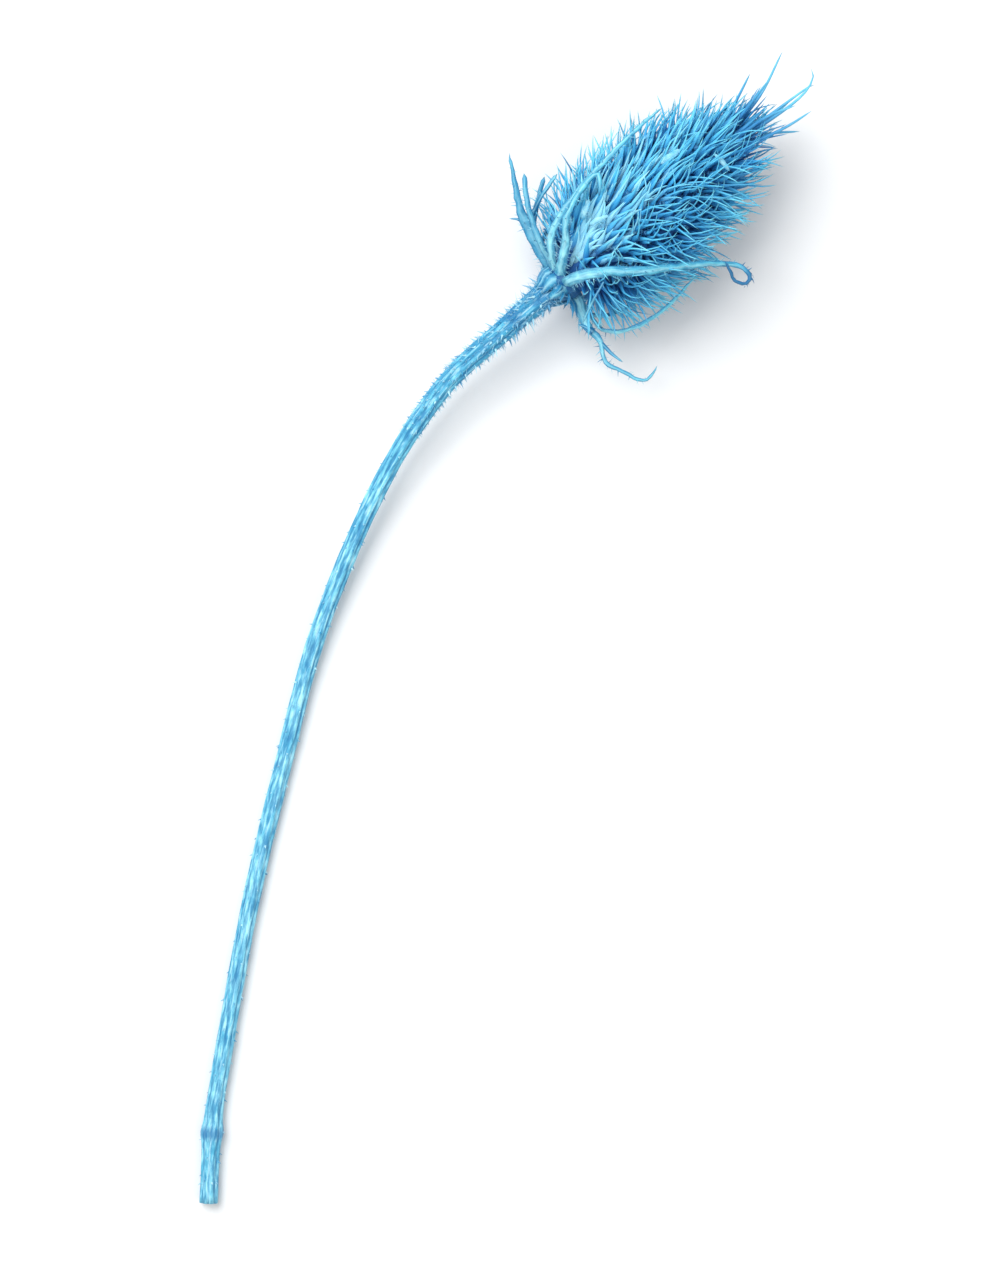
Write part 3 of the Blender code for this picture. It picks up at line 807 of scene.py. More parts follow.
# %% [markdown]
# ## One bract
# A bract is a narrow leaf folded along its middle: a keel outside, a shallow channel inside, prickles
# along both edges and the keel, and fine hairs that thin out towards its tip. It is grown straight, gets
# its prickles and hairs while it is straight, and is bent along its route last, with all of them on it.
# Two rounds of crumpling, one in large and one in small dents, take away the look of a turned piece.

# %% Helpers for bracts
BRACT_SIDES = 10
RING_STEP = 1.1
THICKEST = 0.36
HAIRS_PER_MM = 1.3


def width_table(length, widths, foot):
    """(place, width) pairs: narrow at the root, full width after the foot, then down to the tip."""
    wide, middle, narrow, end = widths
    rest = length - foot
    table = [(0, wide * (0.35 if foot else 1)), (foot * 0.7, wide * (0.85 if foot else 1)), (foot, wide)]
    table += [(foot + rest * 0.16, (wide + middle) / 2), (foot + rest * 0.5, middle)]
    return table + [(foot + rest * 0.93, narrow), (length, end)]


def grow_blade(name, length, widths, table):
    """The blade of a bract, keeled and crumpled, which remembers how near its edge each point is."""
    rings = max(8, round(length / RING_STEP))
    stations = []
    for i in range(rings + 1):
        half = read_table(table, length * i / rings) / 2
        stations.append((length * i / rings, half, min(THICKEST, half * 0.5)))
    _, width, thickness = stations[0]
    piece = start_ring(name, BRACT_SIDES, width, thickness)
    pick(piece, lambda p: abs(p.x) < width * 0.4)
    bpy.ops.transform.translate(value=(0, thickness * 0.75, 0))
    bpy.ops.mesh.select_all(action="SELECT")
    bpy.ops.mesh.select_mode(type="FACE")
    grow(stations)
    finish_piece(piece)
    rows = points_of(piece)
    halves = np.array([read_table(table, z) / 2 for z in rows[:, 2]])
    # 0 on the keel and 1 at the edges: the finish paints a highlight along the keel and shade at the edges.
    store(piece.data, "edge_shading", np.clip(np.abs(rows[:, 0]) / halves, 0, 1))
    crumple(piece, min(0.34, widths[1] * 0.18), 2.2, len(name) + widths[0])
    crumple(piece, min(0.16, widths[1] * 0.09), 0.7, len(name))
    return piece


def edge_prickles(length, table, foot):
    """Prickles along both edges and the keel of a straight bract, shorter towards its tip."""
    made = []
    place = foot + 3.0
    while place < length * 0.9:
        half = read_table(table, place) / 2
        size = draw.uniform(0.8, 2.2) * (1 - 0.35 * place / length)
        side = draw.choice((-1, 1, 0))
        outward = (side, 0.25, draw.uniform(-0.1, 0.5)) if side else (0, 1, 0.2)
        root = (side * half * 0.85, 0.0 if side else half * 0.42, place)
        made.append(prickle_at(root, outward, (0, 0, 1), size, 0.4, draw.random()))
        place += draw.uniform(0.9, 2.3)
    return made


def edge_hairs(count, length, table, foot):
    """Hairs along both edges of a straight bract, most of them near its root."""
    made = []
    for _ in range(count):
        place = foot * 0.5 + (length * 0.9 - foot * 0.5) * draw.random() ** 1.5
        side = draw.choice((-1, 1))
        half = read_table(table, place) / 2
        direction = (side, draw.uniform(-0.3, 0.6), draw.uniform(0.2, 1.0))
        reach = draw.uniform(0.6, 2.2) * (1 - 0.5 * place / length)
        made.append(hair_at((side * half * 0.9, 0.05, place), direction, reach, draw.random(), 1.7))
    return made


def grow_bract(name, widths, frames, foot=0.0, prickly=True, depth=0.4, darker_end=0.0):
    """A bract along its route, with dye of this depth, and so many millimetres of its end made darker as
    painted shade.
    """
    length = frames[0][-1] / MM
    table = width_table(length, widths, foot)
    blade = grow_blade(name, length, widths, table)
    parts = [copy_of(blade, name + "_blade", tone=1 - depth)]
    discard(blade)
    parts += edge_prickles(length, table, foot) if prickly else []
    parts += edge_hairs(round(length * HAIRS_PER_MM) if prickly else 4, length, table, foot)
    whole = join(name, parts)
    # The last millimetres get a lower tone, so a deeper blue: painted shade.
    if darker_end:
        heights = points_of(whole)[:, 2]
        tones = np.empty(len(heights))
        whole.data.attributes["tone"].data.foreach_get("value", tones)
        store(whole.data, "tone", tones * (1 - 0.95 * np.clip((heights - length + darker_end) / 4, 0, 1)))
    bend_along(whole, frames)
    return whole


# %% [markdown]
# ## The long bracts
# At its foot a bract turns its keel away from the collar, and further on away from the head and a little
# up, so that its broad side is seen. How far up differs from one to the next. So does the depth of the
# dye: those on the left took the most. The ends of two are darker: on the looped one that is painted
# shade of its shaded inner side. The twigs are short forks and thorns of the bracts, and a thin stray
# bristle.

# %% Grow the long bracts
DYE_DEPTH = {"upper_arc": 0.0, "looped": 0.05, "lower_arc": 0.0, "left_outer": 0.65, "left_upper": 0.5,
             "left_inner": 0.8, "zigzag": 0.15, "short_front": 0.0, "thin_line": 0.1}
# The looped bract's end is painted shade of its shaded inner side, and the end of short_front is darker too.
DARKER_ENDS = {"looped": 16.0, "short_front": 5.0}
TURNED_UP = {"left_outer": 3.0, "left_upper": 3.0, "left_inner": 3.0, "zigzag": 3.0, "looped": 1.4,
             "upper_arc": 1.0, "short_front": 2.2}


def bract_aims(route, out, turned_up):
    """Which way the keel points: off the collar at the foot, then away from the head and a little up."""
    aims = []
    for place, point in zip(distances(route) / MM, route):
        offset = point - HEAD_BASE
        away = (offset - AXIS * offset.dot(AXIS)).normalized() - AXIS * 0.6 + Vector((0, 0, turned_up))
        share = min(1.0, max(0.0, place / FOOT - 0.6))
        aims.append(out * (1 - share) + away.normalized() * share)
    return aims


bracts = []
for name, (widths, points) in BRACTS.items():
    route = bract_routes[name]
    out, _ = bract_foot(over_table(*points[0]))
    frames = frames_along(route, bract_aims(route, out, TURNED_UP.get(name, 0.5)), keep=True)
    turns = [float(a.dot(b)) for a, b in zip(frames[3], frames[3][1:])]
    print(name, "turns at most", round(math.degrees(math.acos(max(-1, min(turns)))), 1), "degrees a step")
    depth = DYE_DEPTH.get(name, 0.6)
    bracts.append(grow_bract(name, widths, frames, foot=FOOT, depth=depth, darker_end=DARKER_ENDS.get(name, 0.0)))
for name, (widths, points) in TWIGS.items():
    frames = frames_along(smooth_curve([over_table(*p) for p in points], 8), UP)
    bracts.append(grow_bract(name, widths, frames, prickly=False, depth=DYE_DEPTH.get(name, 0.4)))
print("long bracts and twigs:", len(bracts))

# %% [markdown]
# ## Short bracts
# Between the long bracts the collar carries short ones, here nine in a row from its underside round its
# lower right to the side that faces the viewer. They stand out and bend back over the stem. One that
# would reach the table is left out.

# %% Grow the short bracts
SHORT_BRACTS = 9
for i in range(SHORT_BRACTS):
    out = radial(math.radians(-75 + 19 * i))
    reach = draw.uniform(3.6, 6.5)
    root = in_head(-3.0 - 0.6 * (i % 2), 0, 0) + out * 3.8 * MM
    knee = root + (out - AXIS * 0.1).normalized() * reach * 0.45 * MM
    tip = knee + (out * 0.8 - AXIS * draw.uniform(0.3, 1.0)).normalized() * reach * 0.55 * MM
    if tip.z > 1.0 * MM:
        width = draw.uniform(0.9, 1.6)
        frames = frames_along(smooth_curve([root, knee, tip], 8), AXIS)
        bracts.append(grow_bract(f"short_{i}", (width, width * 0.8, 0.4, 0.1), frames, prickly=False))
bracts = join("bracts", bracts)
press(bracts, 0.6)
print("bracts:", len(bracts.data.polygons), "faces")

# %% [markdown]
# ## Loose flakes
# Four papery flakes have caught in the spines: broken scales, bleached nearly white. Each is a short wide
# bract without prickles, laid on the spines.

# %% Grow the flakes
FLAKES = (
    ((0.5, 1.1, 0.8, 0.3), ((34.0, 26.8, 32.4), (35.6, 25.2, 33.0), (37.6, 23.0, 31.8))),
    ((0.8, 1.9, 1.3, 0.4), ((21.4, 24.8, 31.6), (23.8, 26.4, 32.8), (26.2, 28.0, 32.0))),
    ((0.9, 1.6, 1.1, 0.4), ((3.0, 11.8, 30.8), (3.7, 14.0, 32.0), (4.6, 16.4, 32.0))),
    ((0.8, 1.3, 0.8, 0.3), ((4.8, 10.4, 32.2), (7.0, 11.5, 33.8), (9.4, 12.4, 33.8))),
)
flakes = []
for count, (widths, points) in enumerate(FLAKES):
    frames = frames_along(smooth_curve([over_table(*p) for p in points], 6), UP)
    flakes.append(grow_bract(f"flake_{count}", widths, frames, prickly=False))
flakes = join("flakes", flakes)
print("flakes:", len(FLAKES))

# %% [markdown]
# ## The way of the stem
# The stem leaves the collar in the direction of the head, bends down to the table and runs along it to
# the cut. It is thickest at the collar and has a node, a low ring, just above the cut.

# %% Route and thickness of the stem
STEM_TOP = -4.3
STEM_ROUTE = (
    (-15.5, -13.0, 14.5), (-30.5, -27.0, 11.7), (-45.6, -50.4, 7.6), (-60.3, -85.0, 3.5),
    (-69.2, -118.0, 2.0), (-77.2, -152.0, 2.0), (-84.0, -190.0, 2.0), (-86.3, -206.0, 2.0),
    (-87.2, -224.0, 2.0),
)
STEM_RADIUS = (
    (0, 3.8), (2.5, 3.35), (5, 3.1), (14, 2.75), (30, 2.5), (55, 2.25), (105, 2.2), (190, 2.2), (220, 2.25),
    (223.4, 2.35), (225.2, 2.5), (226.6, 2.72), (227.6, 2.82), (228.6, 2.74), (230, 2.5), (231.8, 2.36),
    (234, 2.3), (270, 2.35),
)
NODE_PLACE = 227.8
in_collar = [in_head(STEM_TOP, 0, 0), in_head(STEM_TOP - 6, 0, 0)]
stem_route = smooth_curve(in_collar + [over_table(*p) for p in STEM_ROUTE], 24)
stem_frames = frames_along(stem_route, (0, 0, 1), keep=True)
stem_length = stem_frames[0][-1] / MM
print("stem:", round(stem_length, 1), "mm long")

# %% [markdown]
# ## The ribs of the stem
# The stem has eight ribs. It is grown straight, like everything else, from a ring of 64 points. Those in
# the grooves are drawn in first, the deepest ones most, and every ring after the first inherits that
# outline. The rings lie about two millimetres apart, and a slow wobble in their size keeps the stem from
# looking turned.

# %% Grow the stem
RIBS = 8
GROOVES = ((0.86, 0.0, 0.1), (0.9, 0.1, 0.4), (0.96, 0.4, 0.7), (1.0, 0.7, 1.01))
places = sorted({0.0, stem_length, *(p for p, _ in STEM_RADIUS if p < stem_length)})
rings = [0.0]
for a, b in zip(places, places[1:]):
    steps = max(1, round((b - a) / 2.2))
    rings += [a + (b - a) * (k + 1) / steps for k in range(steps)]
wobble = [1 + 0.018 * math.sin(0.31 * z) + 0.012 * math.sin(0.83 * z + 1) for z in rings]
sizes = [read_table(STEM_RADIUS, z) * w for z, w in zip(rings, wobble)]


def ribness(p):
    """0 at the bottom of a groove and 1 on a rib."""
    return (1 - math.cos(RIBS * math.atan2(p.y, p.x))) / 2


stem = start_ring("stem_skin", 64, sizes[0], sizes[0])
for share, first, last in GROOVES:
    pick(stem, lambda p: first <= ribness(p) < last)
    bpy.ops.transform.resize(value=(share, share, 1), center_override=(0, 0, 0))
bpy.ops.mesh.select_all(action="SELECT")
bpy.ops.mesh.select_mode(type="FACE")
grow([(z, size, size) for z, size in zip(rings, sizes)])
print("stem:", len(rings), "rings")

# %% [markdown]
# ## The cut
# The cut shows a rim of skin, a ring of pale pith and a hollow. All come from the face that the last step
# left selected: it is extruded and made smaller five times. Two narrow steps rise a little, the third
# sinks a little and is the ring of pith, and the last two go down into the stem. From the bottom of the
# hollow the selection is grown four times, so that all but the first step gets the pith's finish. The
# faces of the cut stay flat, because a knife left them so.

# %% Cut the stem
CUT_STEPS = ((0.9, 0.04), (0.9, 0.04), (0.6, -0.12), (0.84, -1.2), (0.7, -3.5))
for name in ("blue_stem", "pale_pith"):
    stem.data.materials.append(bpy.data.materials.new(name))
for share, rise in CUT_STEPS:
    bpy.ops.mesh.extrude_region_move(TRANSFORM_OT_translate={"value": (0, 0, rise)})
    bpy.ops.transform.resize(value=(share, share, 1), center_override=(0, 0, stem_length))
for _ in CUT_STEPS[1:]:
    bpy.ops.mesh.select_more()
stem.active_material_index = 1
bpy.ops.object.material_slot_assign()
finish_piece(stem, pointed=False)
for face in stem.data.polygons:
    face.use_smooth = abs(face.normal.z) < 0.5
print("stem skin:", len(stem.data.polygons), "faces")

# %% [markdown]
# ## Prickles and hairs on the stem
# Just under the head the ribs are crowded with long prickles and fine hairs. Further down there are only
# short ones, further apart. A prickle that would point into the table is left out: on the real stem it
# has broken off.

# %% Place the prickles and hairs
HAIR_COUNT = 1100
HAIRY_PART = 50


def free_of_table(place, turn, height):
    """True if a point this high over the stem's centre line stays above the table."""
    reached, points, across, outward, _ = stem_frames
    side, out, centre = (np.interp(place * MM, reached, v[:, 2]) for v in (across, outward, points))
    return centre + (side * math.cos(turn) + out * math.sin(turn)) * height * MM > 0.25 * MM


on_stem = []
for rib in range(RIBS):
    turn = 2 * math.pi * (rib + 0.5) / RIBS
    place = 2.5 + draw.uniform(0, 2)
    while place < stem_length - 3:
        near = max(0.0, 1 - place / 48)
        length = draw.uniform(0.4, 1.0) + near * draw.choice((0.3, 0.8, 1.4, 2.4))
        aim = turn + draw.gauss(0, 0.1)
        radius = read_table(STEM_RADIUS, place)
        if free_of_table(place, aim, radius + length):
            out = (math.cos(aim), math.sin(aim), 0)
            root = Vector(out) * radius * 0.97 + Vector((0, 0, place))
            direction = Vector(out) + Vector((0, 0, draw.uniform(0.1, 0.6)))
            width = draw.uniform(0.45, 0.8) + 0.3 * near
            on_stem.append(prickle_at(root, direction, (0, 0, 1), length, width, draw.random()))
        place += draw.uniform(0.8, 3.2) if near else draw.uniform(5, 14)
fuzz = []
for _ in range(HAIR_COUNT):
    place = 1.0 + HAIRY_PART * draw.random() ** 1.5
    turn = draw.uniform(0, 2 * math.pi)
    length = draw.uniform(0.5, 1.4) + draw.choice((0, 0.4, 0.9, 1.9)) * (1 - place / 52)
    if free_of_table(place, turn, 3.3 + length):
        out = Vector((math.cos(turn), math.sin(turn), 0))
        root = out * read_table(STEM_RADIUS, place) * 0.93 + Vector((0, 0, place))
        direction = out + Vector((0, 0, draw.uniform(-0.6, 1.2)))
        fuzz.append(hair_at(root, direction, length, draw.random(), draw.uniform(1.2, 2.2)))
prickles = join("stem_prickles", on_stem + fuzz)
for piece in (stem, prickles):
    bend_along(piece, stem_frames)
rows = points_of(stem)
rows[:, 2] = np.maximum(rows[:, 2], 0)
move_points(stem, rows)
press(prickles, 0.3)
discard(prickle, one_hair)
print("stem prickles:", len(on_stem), "and hairs:", len(fuzz))

# %% [markdown]
# ## Nodes for the finishes
# A finish is a small network of nodes. Building one takes the same few moves again and again: add a node,
# wire or fill its inputs, mix two colours, turn a value into a colour. Each move is a helper. Colours are
# written as they were picked, in 0 to 255, and turned into the renderer's own scale.

# %% Helpers for shader nodes
def linear(red, green, blue):
    """A colour picked in 0 to 255 as the renderer counts it."""
    values = [v / 255 for v in (red, green, blue)]
    return (*(v / 12.92 if v <= 0.04045 else ((v + 0.055) / 1.055) ** 2.4 for v in values), 1)


def add(tree, kind, inputs=None, **settings):
    """Adds a node, sets it up, and wires or fills its inputs."""
    node = tree.nodes.new(kind)
    for name, value in settings.items():
        setattr(node, name, value)
    for name, value in (inputs or {}).items():
        if isinstance(value, bpy.types.NodeSocket):
            tree.links.new(value, node.inputs[name])
        else:
            node.inputs[name].default_value = value
    return node


def calculate(tree, operation, *values, **settings):
    return add(tree, "ShaderNodeMath", dict(enumerate(values)), operation=operation, **settings).outputs[0]


def mix_colours(tree, factor, a, b):
    return add(tree, "ShaderNodeMix", {0: factor, 6: a, 7: b}, data_type="RGBA").outputs[2]


def ramp(tree, factor, stops):
    """A colour ramp through {position: (red, green, blue)}."""
    node = add(tree, "ShaderNodeValToRGB", {"Fac": factor})
    elements = node.color_ramp.elements
    while len(elements) < len(stops):
        elements.new(0.5)
    for element, (position, colour) in zip(elements, stops.items()):
        element.position = position
        element.color = linear(*colour)
    return node.outputs["Color"]


def ranged(tree, value, low, high, to_low=0.0, to_high=1.0):
    """Turns the range from low to high into the other one, and stops at its ends."""
    inputs = {"Value": value, "From Min": low, "From Max": high, "To Min": to_low, "To Max": to_high}
    return add(tree, "ShaderNodeMapRange", inputs).outputs["Result"]


def new_group(name, inputs, outputs):
    """An empty node group with these sockets: {name: kind} in and out."""
    group = bpy.data.node_groups.new(name, "ShaderNodeTree")
    for sockets, way in ((inputs, "INPUT"), (outputs, "OUTPUT")):
        for socket, kind in sockets.items():
            group.interface.new_socket(socket, in_out=way, socket_type="NodeSocket" + kind)
    return group, group.nodes.new("NodeGroupInput").outputs, group.nodes.new("NodeGroupOutput").inputs


# %% [markdown]
# ## Uneven dye
# The whole plant was dipped in blue dye. Where it is thin and dry it is pale sky blue, where it is thick
# or shaded it is deep, and no two scales took the same amount. A blotchy noise mixes a pale and a deep
# blue. The group is made once, and every finish but that of the prickles uses it with its own two blues,
# its own size of blotch and a contrast.

# %% The uneven dye
uneven_dye, ins, outs = new_group(
    "uneven_dye",
    {"Place": "Vector", "Pale": "Color", "Deep": "Color", "Size": "Float", "Contrast": "Float"},
    {"Color": "Color"},
)
blotch_inputs = {"Vector": ins["Place"], "Scale": ins["Size"], "Detail": 4.0, "Roughness": 0.6}
blotches = add(uneven_dye, "ShaderNodeTexNoise", blotch_inputs).outputs["Fac"]
centred = calculate(uneven_dye, "SUBTRACT", blotches, 0.5)
stronger = calculate(uneven_dye, "MULTIPLY", centred, ins["Contrast"])
share = calculate(uneven_dye, "ADD", stronger, 0.5, use_clamp=True)
uneven_dye.links.new(mix_colours(uneven_dye, share, ins["Deep"], ins["Pale"]), outs["Color"])
print("group:", uneven_dye.name)

# %% [markdown]
# ## Grain
# Dried stalks and leaves are made of long fine fibres. The second group is a noise that is stretched
# along the piece, and next to it a few specks. It reads the remembered straight shape, so the fibres
# follow every bend.

# %% The grain of fibres
grain, ins, outs = new_group(
    "fibre_grain", {"Straight": "Vector", "Fineness": "Float", "Stretch": "Float"},
    {"Height": "Float", "Specks": "Float"},
)
split = add(grain, "ShaderNodeSeparateXYZ", {0: ins["Straight"]}).outputs
shorter = calculate(grain, "MULTIPLY", split["Z"], ins["Stretch"])
squeezed = add(grain, "ShaderNodeCombineXYZ", {"X": split["X"], "Y": split["Y"], "Z": shorter}).outputs[0]
fibres = add(grain, "ShaderNodeTexNoise", {"Vector": squeezed, "Scale": ins["Fineness"], "Detail": 3.0})
speck_inputs = {"Vector": ins["Straight"], "Scale": 2.2, "Detail": 3.0, "Roughness": 0.7}
specks = add(grain, "ShaderNodeTexNoise", speck_inputs)
grain.links.new(fibres.outputs["Fac"], outs["Height"])
grain.links.new(ranged(grain, specks.outputs["Fac"], 0.6, 0.72), outs["Specks"])
print("group:", grain.name)

# %% [markdown]
# ## What all finishes share
# Each finish is a plain Principled shader with the grain as its bump. A small class keeps its nodes
# together with the values that steer its colours: the place on the straight piece, the tone of the copy,
# the fibres and the specks. First the dye is mixed, from two blues or from two ramps of blues along the
# piece. Then tints are laid over it, each where some value runs from one limit to another.

# %% A class for the finishes
GLOSS = 0.35
RELIEF = 0.0003


class Finish:
    """A Principled material with its grain wired to the bump."""

    def __init__(self, name, roughness, bump, fineness=4.0, stretch=0.06):
        self.material = bpy.data.materials.get(name) or bpy.data.materials.new(name)
        self.material.use_nodes = True
        self.tree = self.material.node_tree
        self.shader = self.tree.nodes["Principled BSDF"]
        self.shader.inputs["Roughness"].default_value = roughness
        self.shader.inputs["Specular IOR Level"].default_value = GLOSS
        self.straight = self.remembered("straight", "Vector")
        self.along = add(self.tree, "ShaderNodeSeparateXYZ", {0: self.straight}).outputs["Z"]
        self.tone = self.remembered("tone")
        fibre_inputs = {"Straight": self.straight, "Fineness": fineness, "Stretch": stretch}
        fibre = add(self.tree, "ShaderNodeGroup", fibre_inputs, node_tree=grain).outputs
        self.fibres, self.specks = fibre["Height"], fibre["Specks"]
        bump_inputs = {"Height": self.fibres, "Strength": bump, "Distance": RELIEF}
        bumped = add(self.tree, "ShaderNodeBump", bump_inputs)
        self.tree.links.new(bumped.outputs["Normal"], self.shader.inputs["Normal"])

    def remembered(self, name, output="Fac"):
        """What the points of the piece remember under this name."""
        return add(self.tree, "ShaderNodeAttribute", attribute_name=name).outputs[output]

    def dye(self, pale, deep, size, contrast, span=None):
        """Mixes two blues unevenly, or with a span, in millimetres, two ramps of blues along the piece."""
        if span:
            share = ranged(self.tree, self.along, *span)
            pale, deep = ramp(self.tree, share, pale), ramp(self.tree, share, deep)
        else:
            pale, deep = linear(*pale), linear(*deep)
        place = add(self.tree, "ShaderNodeTexCoord").outputs["Object"]
        inputs = {"Place": place, "Pale": pale, "Deep": deep, "Size": size, "Contrast": contrast}
        self.colour = add(self.tree, "ShaderNodeGroup", inputs, node_tree=uneven_dye).outputs["Color"]

    def tint(self, value, low, high, start, end, colour):
        """Lays a colour over the rest: the share start where the value is low, and end where it is high."""
        share = ranged(self.tree, value, low, high, start, end)
        self.colour = mix_colours(self.tree, share, self.colour, linear(*colour))

    def put_on(self, *pieces):
        """Wires the colour to the shader and gives the finish to the pieces."""
        self.tree.links.new(self.colour, self.shader.inputs["Base Color"])
        for piece in pieces:
            piece.data.materials.clear()
            piece.data.materials.append(self.material)


# %% [markdown]
# ## The blues of the scales and the awns
# A scale is navy at its root, where the shade and the dye are deep, azure along its blade and pale at the
# tip of its spine, partly a painted glow of the thin tip. Those with a high tone are paler still, partly
# bleached and partly a painted highlight of the lit upper left, and those with a low one deeper. The awns
# change in the same way over more of their length.

# %% Dye the scales and the awns
finish = Finish("blue_scales", 0.45, 0.35, fineness=5.0)
# The navy root is painted shade as well as deeper dye, and the palest tips are partly a painted glow.
pale = {0.0: (34, 92, 156), 0.14: (48, 130, 190), 0.3: (66, 176, 226), 0.65: (104, 210, 242),
        1.0: (136, 224, 242)}
deep = {0.0: (26, 72, 140), 0.14: (36, 98, 170), 0.3: (42, 132, 200), 0.65: (62, 172, 226),
        1.0: (96, 200, 226)}
finish.dye(pale, deep, 60.0, 3.0, span=(-0.5, 9.5))
# A high tone is paler: partly bleach, partly a painted highlight on the lit upper left.
finish.tint(finish.tone, 0.5, 0.82, 0.0, 0.8, (172, 236, 250))
finish.tint(finish.tone, 0.18, 0.0, 0.0, 0.6, (26, 88, 158))
finish.put_on(scales)

finish = Finish("blue_awns", 0.45, 0.35)
pale = {0.0: (40, 104, 170), 0.45: (60, 152, 204), 0.8: (116, 204, 230)}
deep = {0.0: (24, 70, 140), 0.45: (40, 120, 180), 0.8: (74, 166, 208)}
finish.dye(pale, deep, 160.0, 2.4, span=(0.0, 26.0))
finish.put_on(awns)

# %% [markdown]
# ## The blues of the bracts
# A bract is deep at its foot and pale from about a quarter of its length on. Over that come deeper lines
# between the fibres, a painted highlight along the keel, painted shade along the rims and some pale
# specks. The last two tints follow the tone: the first holds how deeply this bract took the dye and covers
# all of it, the second paints shade on the darker ends only.

# %% Dye the bracts and the collar
finish = Finish("blue_bracts", 0.5, 1.0, fineness=2.4, stretch=0.14)
pale = {0.0: (46, 146, 184), 0.14: (74, 178, 206), 0.26: (144, 226, 236), 0.7: (152, 228, 238),
        1.0: (104, 204, 224)}
deep = {0.0: (20, 92, 150), 0.14: (30, 112, 166), 0.26: (78, 174, 204), 1.0: (60, 160, 194)}
finish.dye(pale, deep, 240.0, 3.0, span=(0.0, 30.0))
edge_shading = finish.remembered("edge_shading")
finish.tint(finish.fibres, 0.36, 0.56, 0.6, 0.0, (32, 124, 172))
# Painted highlight along the keel and on the collar's bulges, painted shade at the edges and in the pinches.
finish.tint(edge_shading, 0.0, 0.45, 0.5, 0.0, (182, 240, 248))
finish.tint(edge_shading, 0.55, 0.95, 0.0, 0.7, (24, 108, 160))
finish.tint(finish.specks, 0.0, 1.0, 0.0, 0.5, (206, 244, 250))
finish.tint(finish.tone, 0.0, 1.0, 0.7, 0.0, (18, 118, 172))
# Painted shade on the darker ends.
finish.tint(finish.tone, 0.04, 0.16, 0.6, 0.0, (16, 72, 128))
finish.put_on(collar, bracts)

# %% [markdown]
# ## The blues of the stem
# The stem goes from azure under the head to pale sky blue lower down. Its grooves are deeper, a painted
# shade. To find them, the angle around the straight stem is multiplied by the number of ribs, and the
# cosine of that is 1 in a groove. Between the fibres run deep lines and on them pale ones, specks of dye
# lie over both, and a deep ring marks the node.

# %% Dye the stem
finish = Finish("blue_stem", 0.5, 0.9, fineness=1.7, stretch=0.16)
pale = {0.0: (48, 146, 186), 0.1: (70, 176, 208), 0.3: (106, 200, 224), 1.0: (142, 216, 234)}
deep = {0.0: (22, 98, 152), 0.3: (44, 142, 184), 1.0: (80, 174, 206)}
finish.dye(pale, deep, 220.0, 3.0, span=(0.0, 120.0))
split = add(finish.tree, "ShaderNodeSeparateXYZ", {0: finish.straight}).outputs
around = calculate(finish.tree, "ARCTAN2", split["Y"], split["X"])
groove = calculate(finish.tree, "COSINE", calculate(finish.tree, "MULTIPLY", around, float(RIBS)))
off_node = calculate(finish.tree, "ABSOLUTE", calculate(finish.tree, "SUBTRACT", finish.along, NODE_PLACE))
# Deeper blue in the grooves: painted shade.
finish.tint(groove, 0.1, 1.0, 0.0, 0.5, (30, 116, 168))
finish.tint(finish.fibres, 0.36, 0.54, 0.75, 0.0, (26, 112, 164))
finish.tint(finish.fibres, 0.54, 0.68, 0.0, 0.55, (190, 236, 246))
finish.tint(finish.specks, 0.0, 1.0, 0.0, 0.5, (24, 104, 158))
finish.tint(off_node, 0.5, 2.2, 0.65, 0.0, (24, 104, 162))
finish.put_on()

# %% [markdown]
# ## The plain finishes
# The prickles and hairs run from deep to pale by their tone alone. Four more finishes are only an uneven
# dye: the papery chaff, the bleached flakes, the core in the dark between the scales, and the pith in the
# cut. The stem already wears its own finish and the pith's, from when it was cut.

# %% Dye the rest
finish = Finish("blue_prickles", 0.45, 0.3)
finish.colour = linear(40, 140, 188)
finish.tint(finish.tone, 0.0, 1.0, 0.0, 1.0, (190, 236, 246))
finish.put_on(prickles)
for name, roughness, bump, pale, deep, size, contrast, pieces in (
    ("pale_chaff", 0.6, 0.3, (84, 164, 206), (36, 92, 156), 300.0, 2.0, [chaff]),
    ("bleached_flake", 0.6, 0.6, (170, 228, 242), (92, 182, 220), 600.0, 3.0, [flakes]),
    ("dark_core", 0.75, 0.5, (44, 108, 172), (28, 74, 138), 400.0, 2.0, [core]),
    ("pale_pith", 0.8, 0.5, (214, 232, 230), (160, 204, 216), 700.0, 2.0, []),
):
    finish = Finish(name, roughness, bump)
    finish.dye(pale, deep, size, contrast)
    finish.put_on(*pieces)
print("finishes:", [m.name for m in bpy.data.materials])

# %% [markdown]
# ## What each piece stands for
# The solids stay in the model for weight and touch, and the new pieces take their place in the picture.

# %% Say what replaces what
for node, slot, pieces in (
    ("head", "dyed_scales", (core, scales, chaff, awns, flakes)),
    ("involucre", "dyed_bracts", (collar, bracts)),
    ("stem", "dyed_stem", (stem, prickles)),
):
    for piece in pieces:
        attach(piece, "root")
        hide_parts(node)
    print(node, "is replaced by", [piece.name for piece in pieces])

# %% [markdown]
# ## The table
# The head lies on a plain white table, matt like paper and large enough to fill the picture.

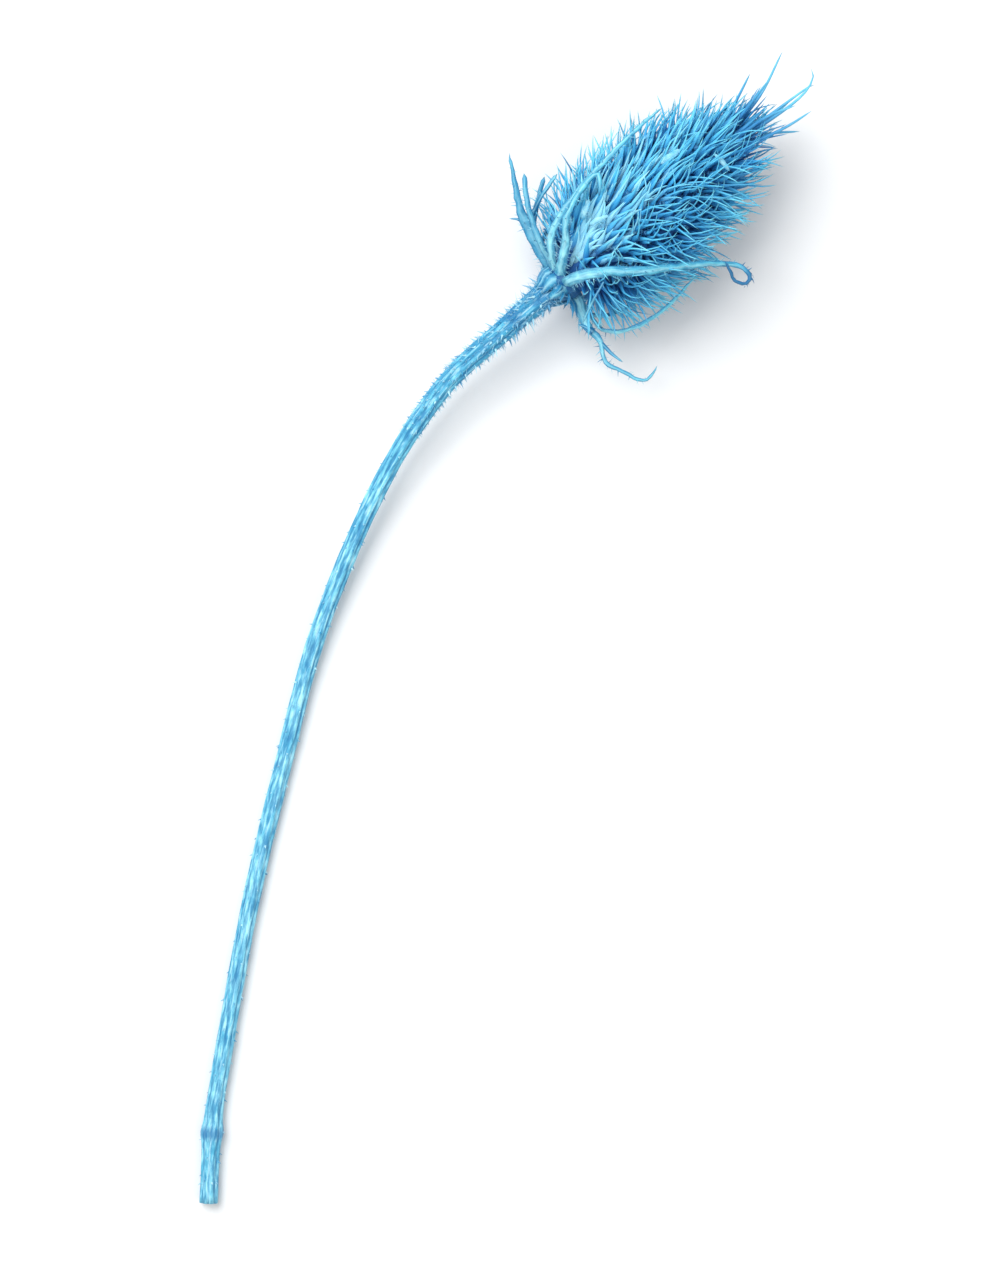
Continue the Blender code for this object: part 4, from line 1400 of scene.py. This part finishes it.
# %% Table
bpy.ops.object.select_all(action="DESELECT")
bpy.ops.mesh.primitive_plane_add(size=6, location=(0, 0, 0))
table = bpy.context.object
table.name = "table"
paper = bpy.data.materials.new("paper")
paper.use_nodes = True
looks = {"Base Color": (0.78, 0.79, 0.8, 1), "Roughness": 0.9, "Specular IOR Level": 0.1}
for setting, value in looks.items():
    paper.node_tree.nodes["Principled BSDF"].inputs[setting].default_value = value
table.data.materials.append(paper)
table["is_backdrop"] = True
print("table:", [round(v, 1) for v in table.dimensions], "m")

# %% [markdown]
# ## The light
# A large soft lamp stands at the upper left like a window, a weaker one at the lower right fills the
# shadows, and white light comes from all around. The standard view keeps the blues as clear as they were
# mixed.

# %% Light
def lamp(name, place, size, power, colour):
    """A square soft lamp that shines on the middle of the head."""
    bpy.ops.object.light_add(type="AREA", location=place)
    light = bpy.context.object
    light.name = name
    light.data.size = size
    light.data.energy = power
    light.data.color = colour
    light.rotation_euler = (Vector((0.03, 0.05, 0)) - Vector(place)).to_track_quat("-Z", "Y").to_euler()


lamp("window", (-0.4, 0.42, 0.95), 0.8, 13.0, (1.0, 1.0, 1.0))
lamp("fill", (0.6, -0.3, 0.9), 0.9, 2.6, (0.98, 0.99, 1.0))
world = bpy.data.worlds.new("bright_room")
world.use_nodes = True
world.node_tree.nodes["Background"].inputs["Color"].default_value = (1, 1, 1, 1)
world.node_tree.nodes["Background"].inputs["Strength"].default_value = 0.6
bpy.context.scene.world = world
bpy.context.scene.view_settings.view_transform = "Standard"

# %% [markdown]
# ## The camera
# It looks straight down, from 0.86 m up and with a long lens, so that nothing is stretched.

# %% Camera
bpy.ops.object.camera_add(location=(0.0, 0.0, 0.86), rotation=(0, 0, 0))
camera = bpy.context.object
camera.data.lens = 100
camera.data.clip_start = 0.05
bpy.context.scene.camera = camera
print("camera:", camera.data.lens, "mm lens")

# %% [markdown]
# ## Sizes
# The new pieces must fill the same box as the measured solids. Both boxes are written down side by side,
# so that they can be compared after each change.

# %% Compare the boxes
visual_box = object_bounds()
plain = [[[float(v) for v in corner] for corner in box] for box in (cad_box, visual_box)]
for label, (low, high) in zip(("solids", "pieces"), plain):
    print(label, [round((b - a) / MM, 1) for a, b in zip(low, high)], "mm, lowest", round(low[2] / MM, 2))
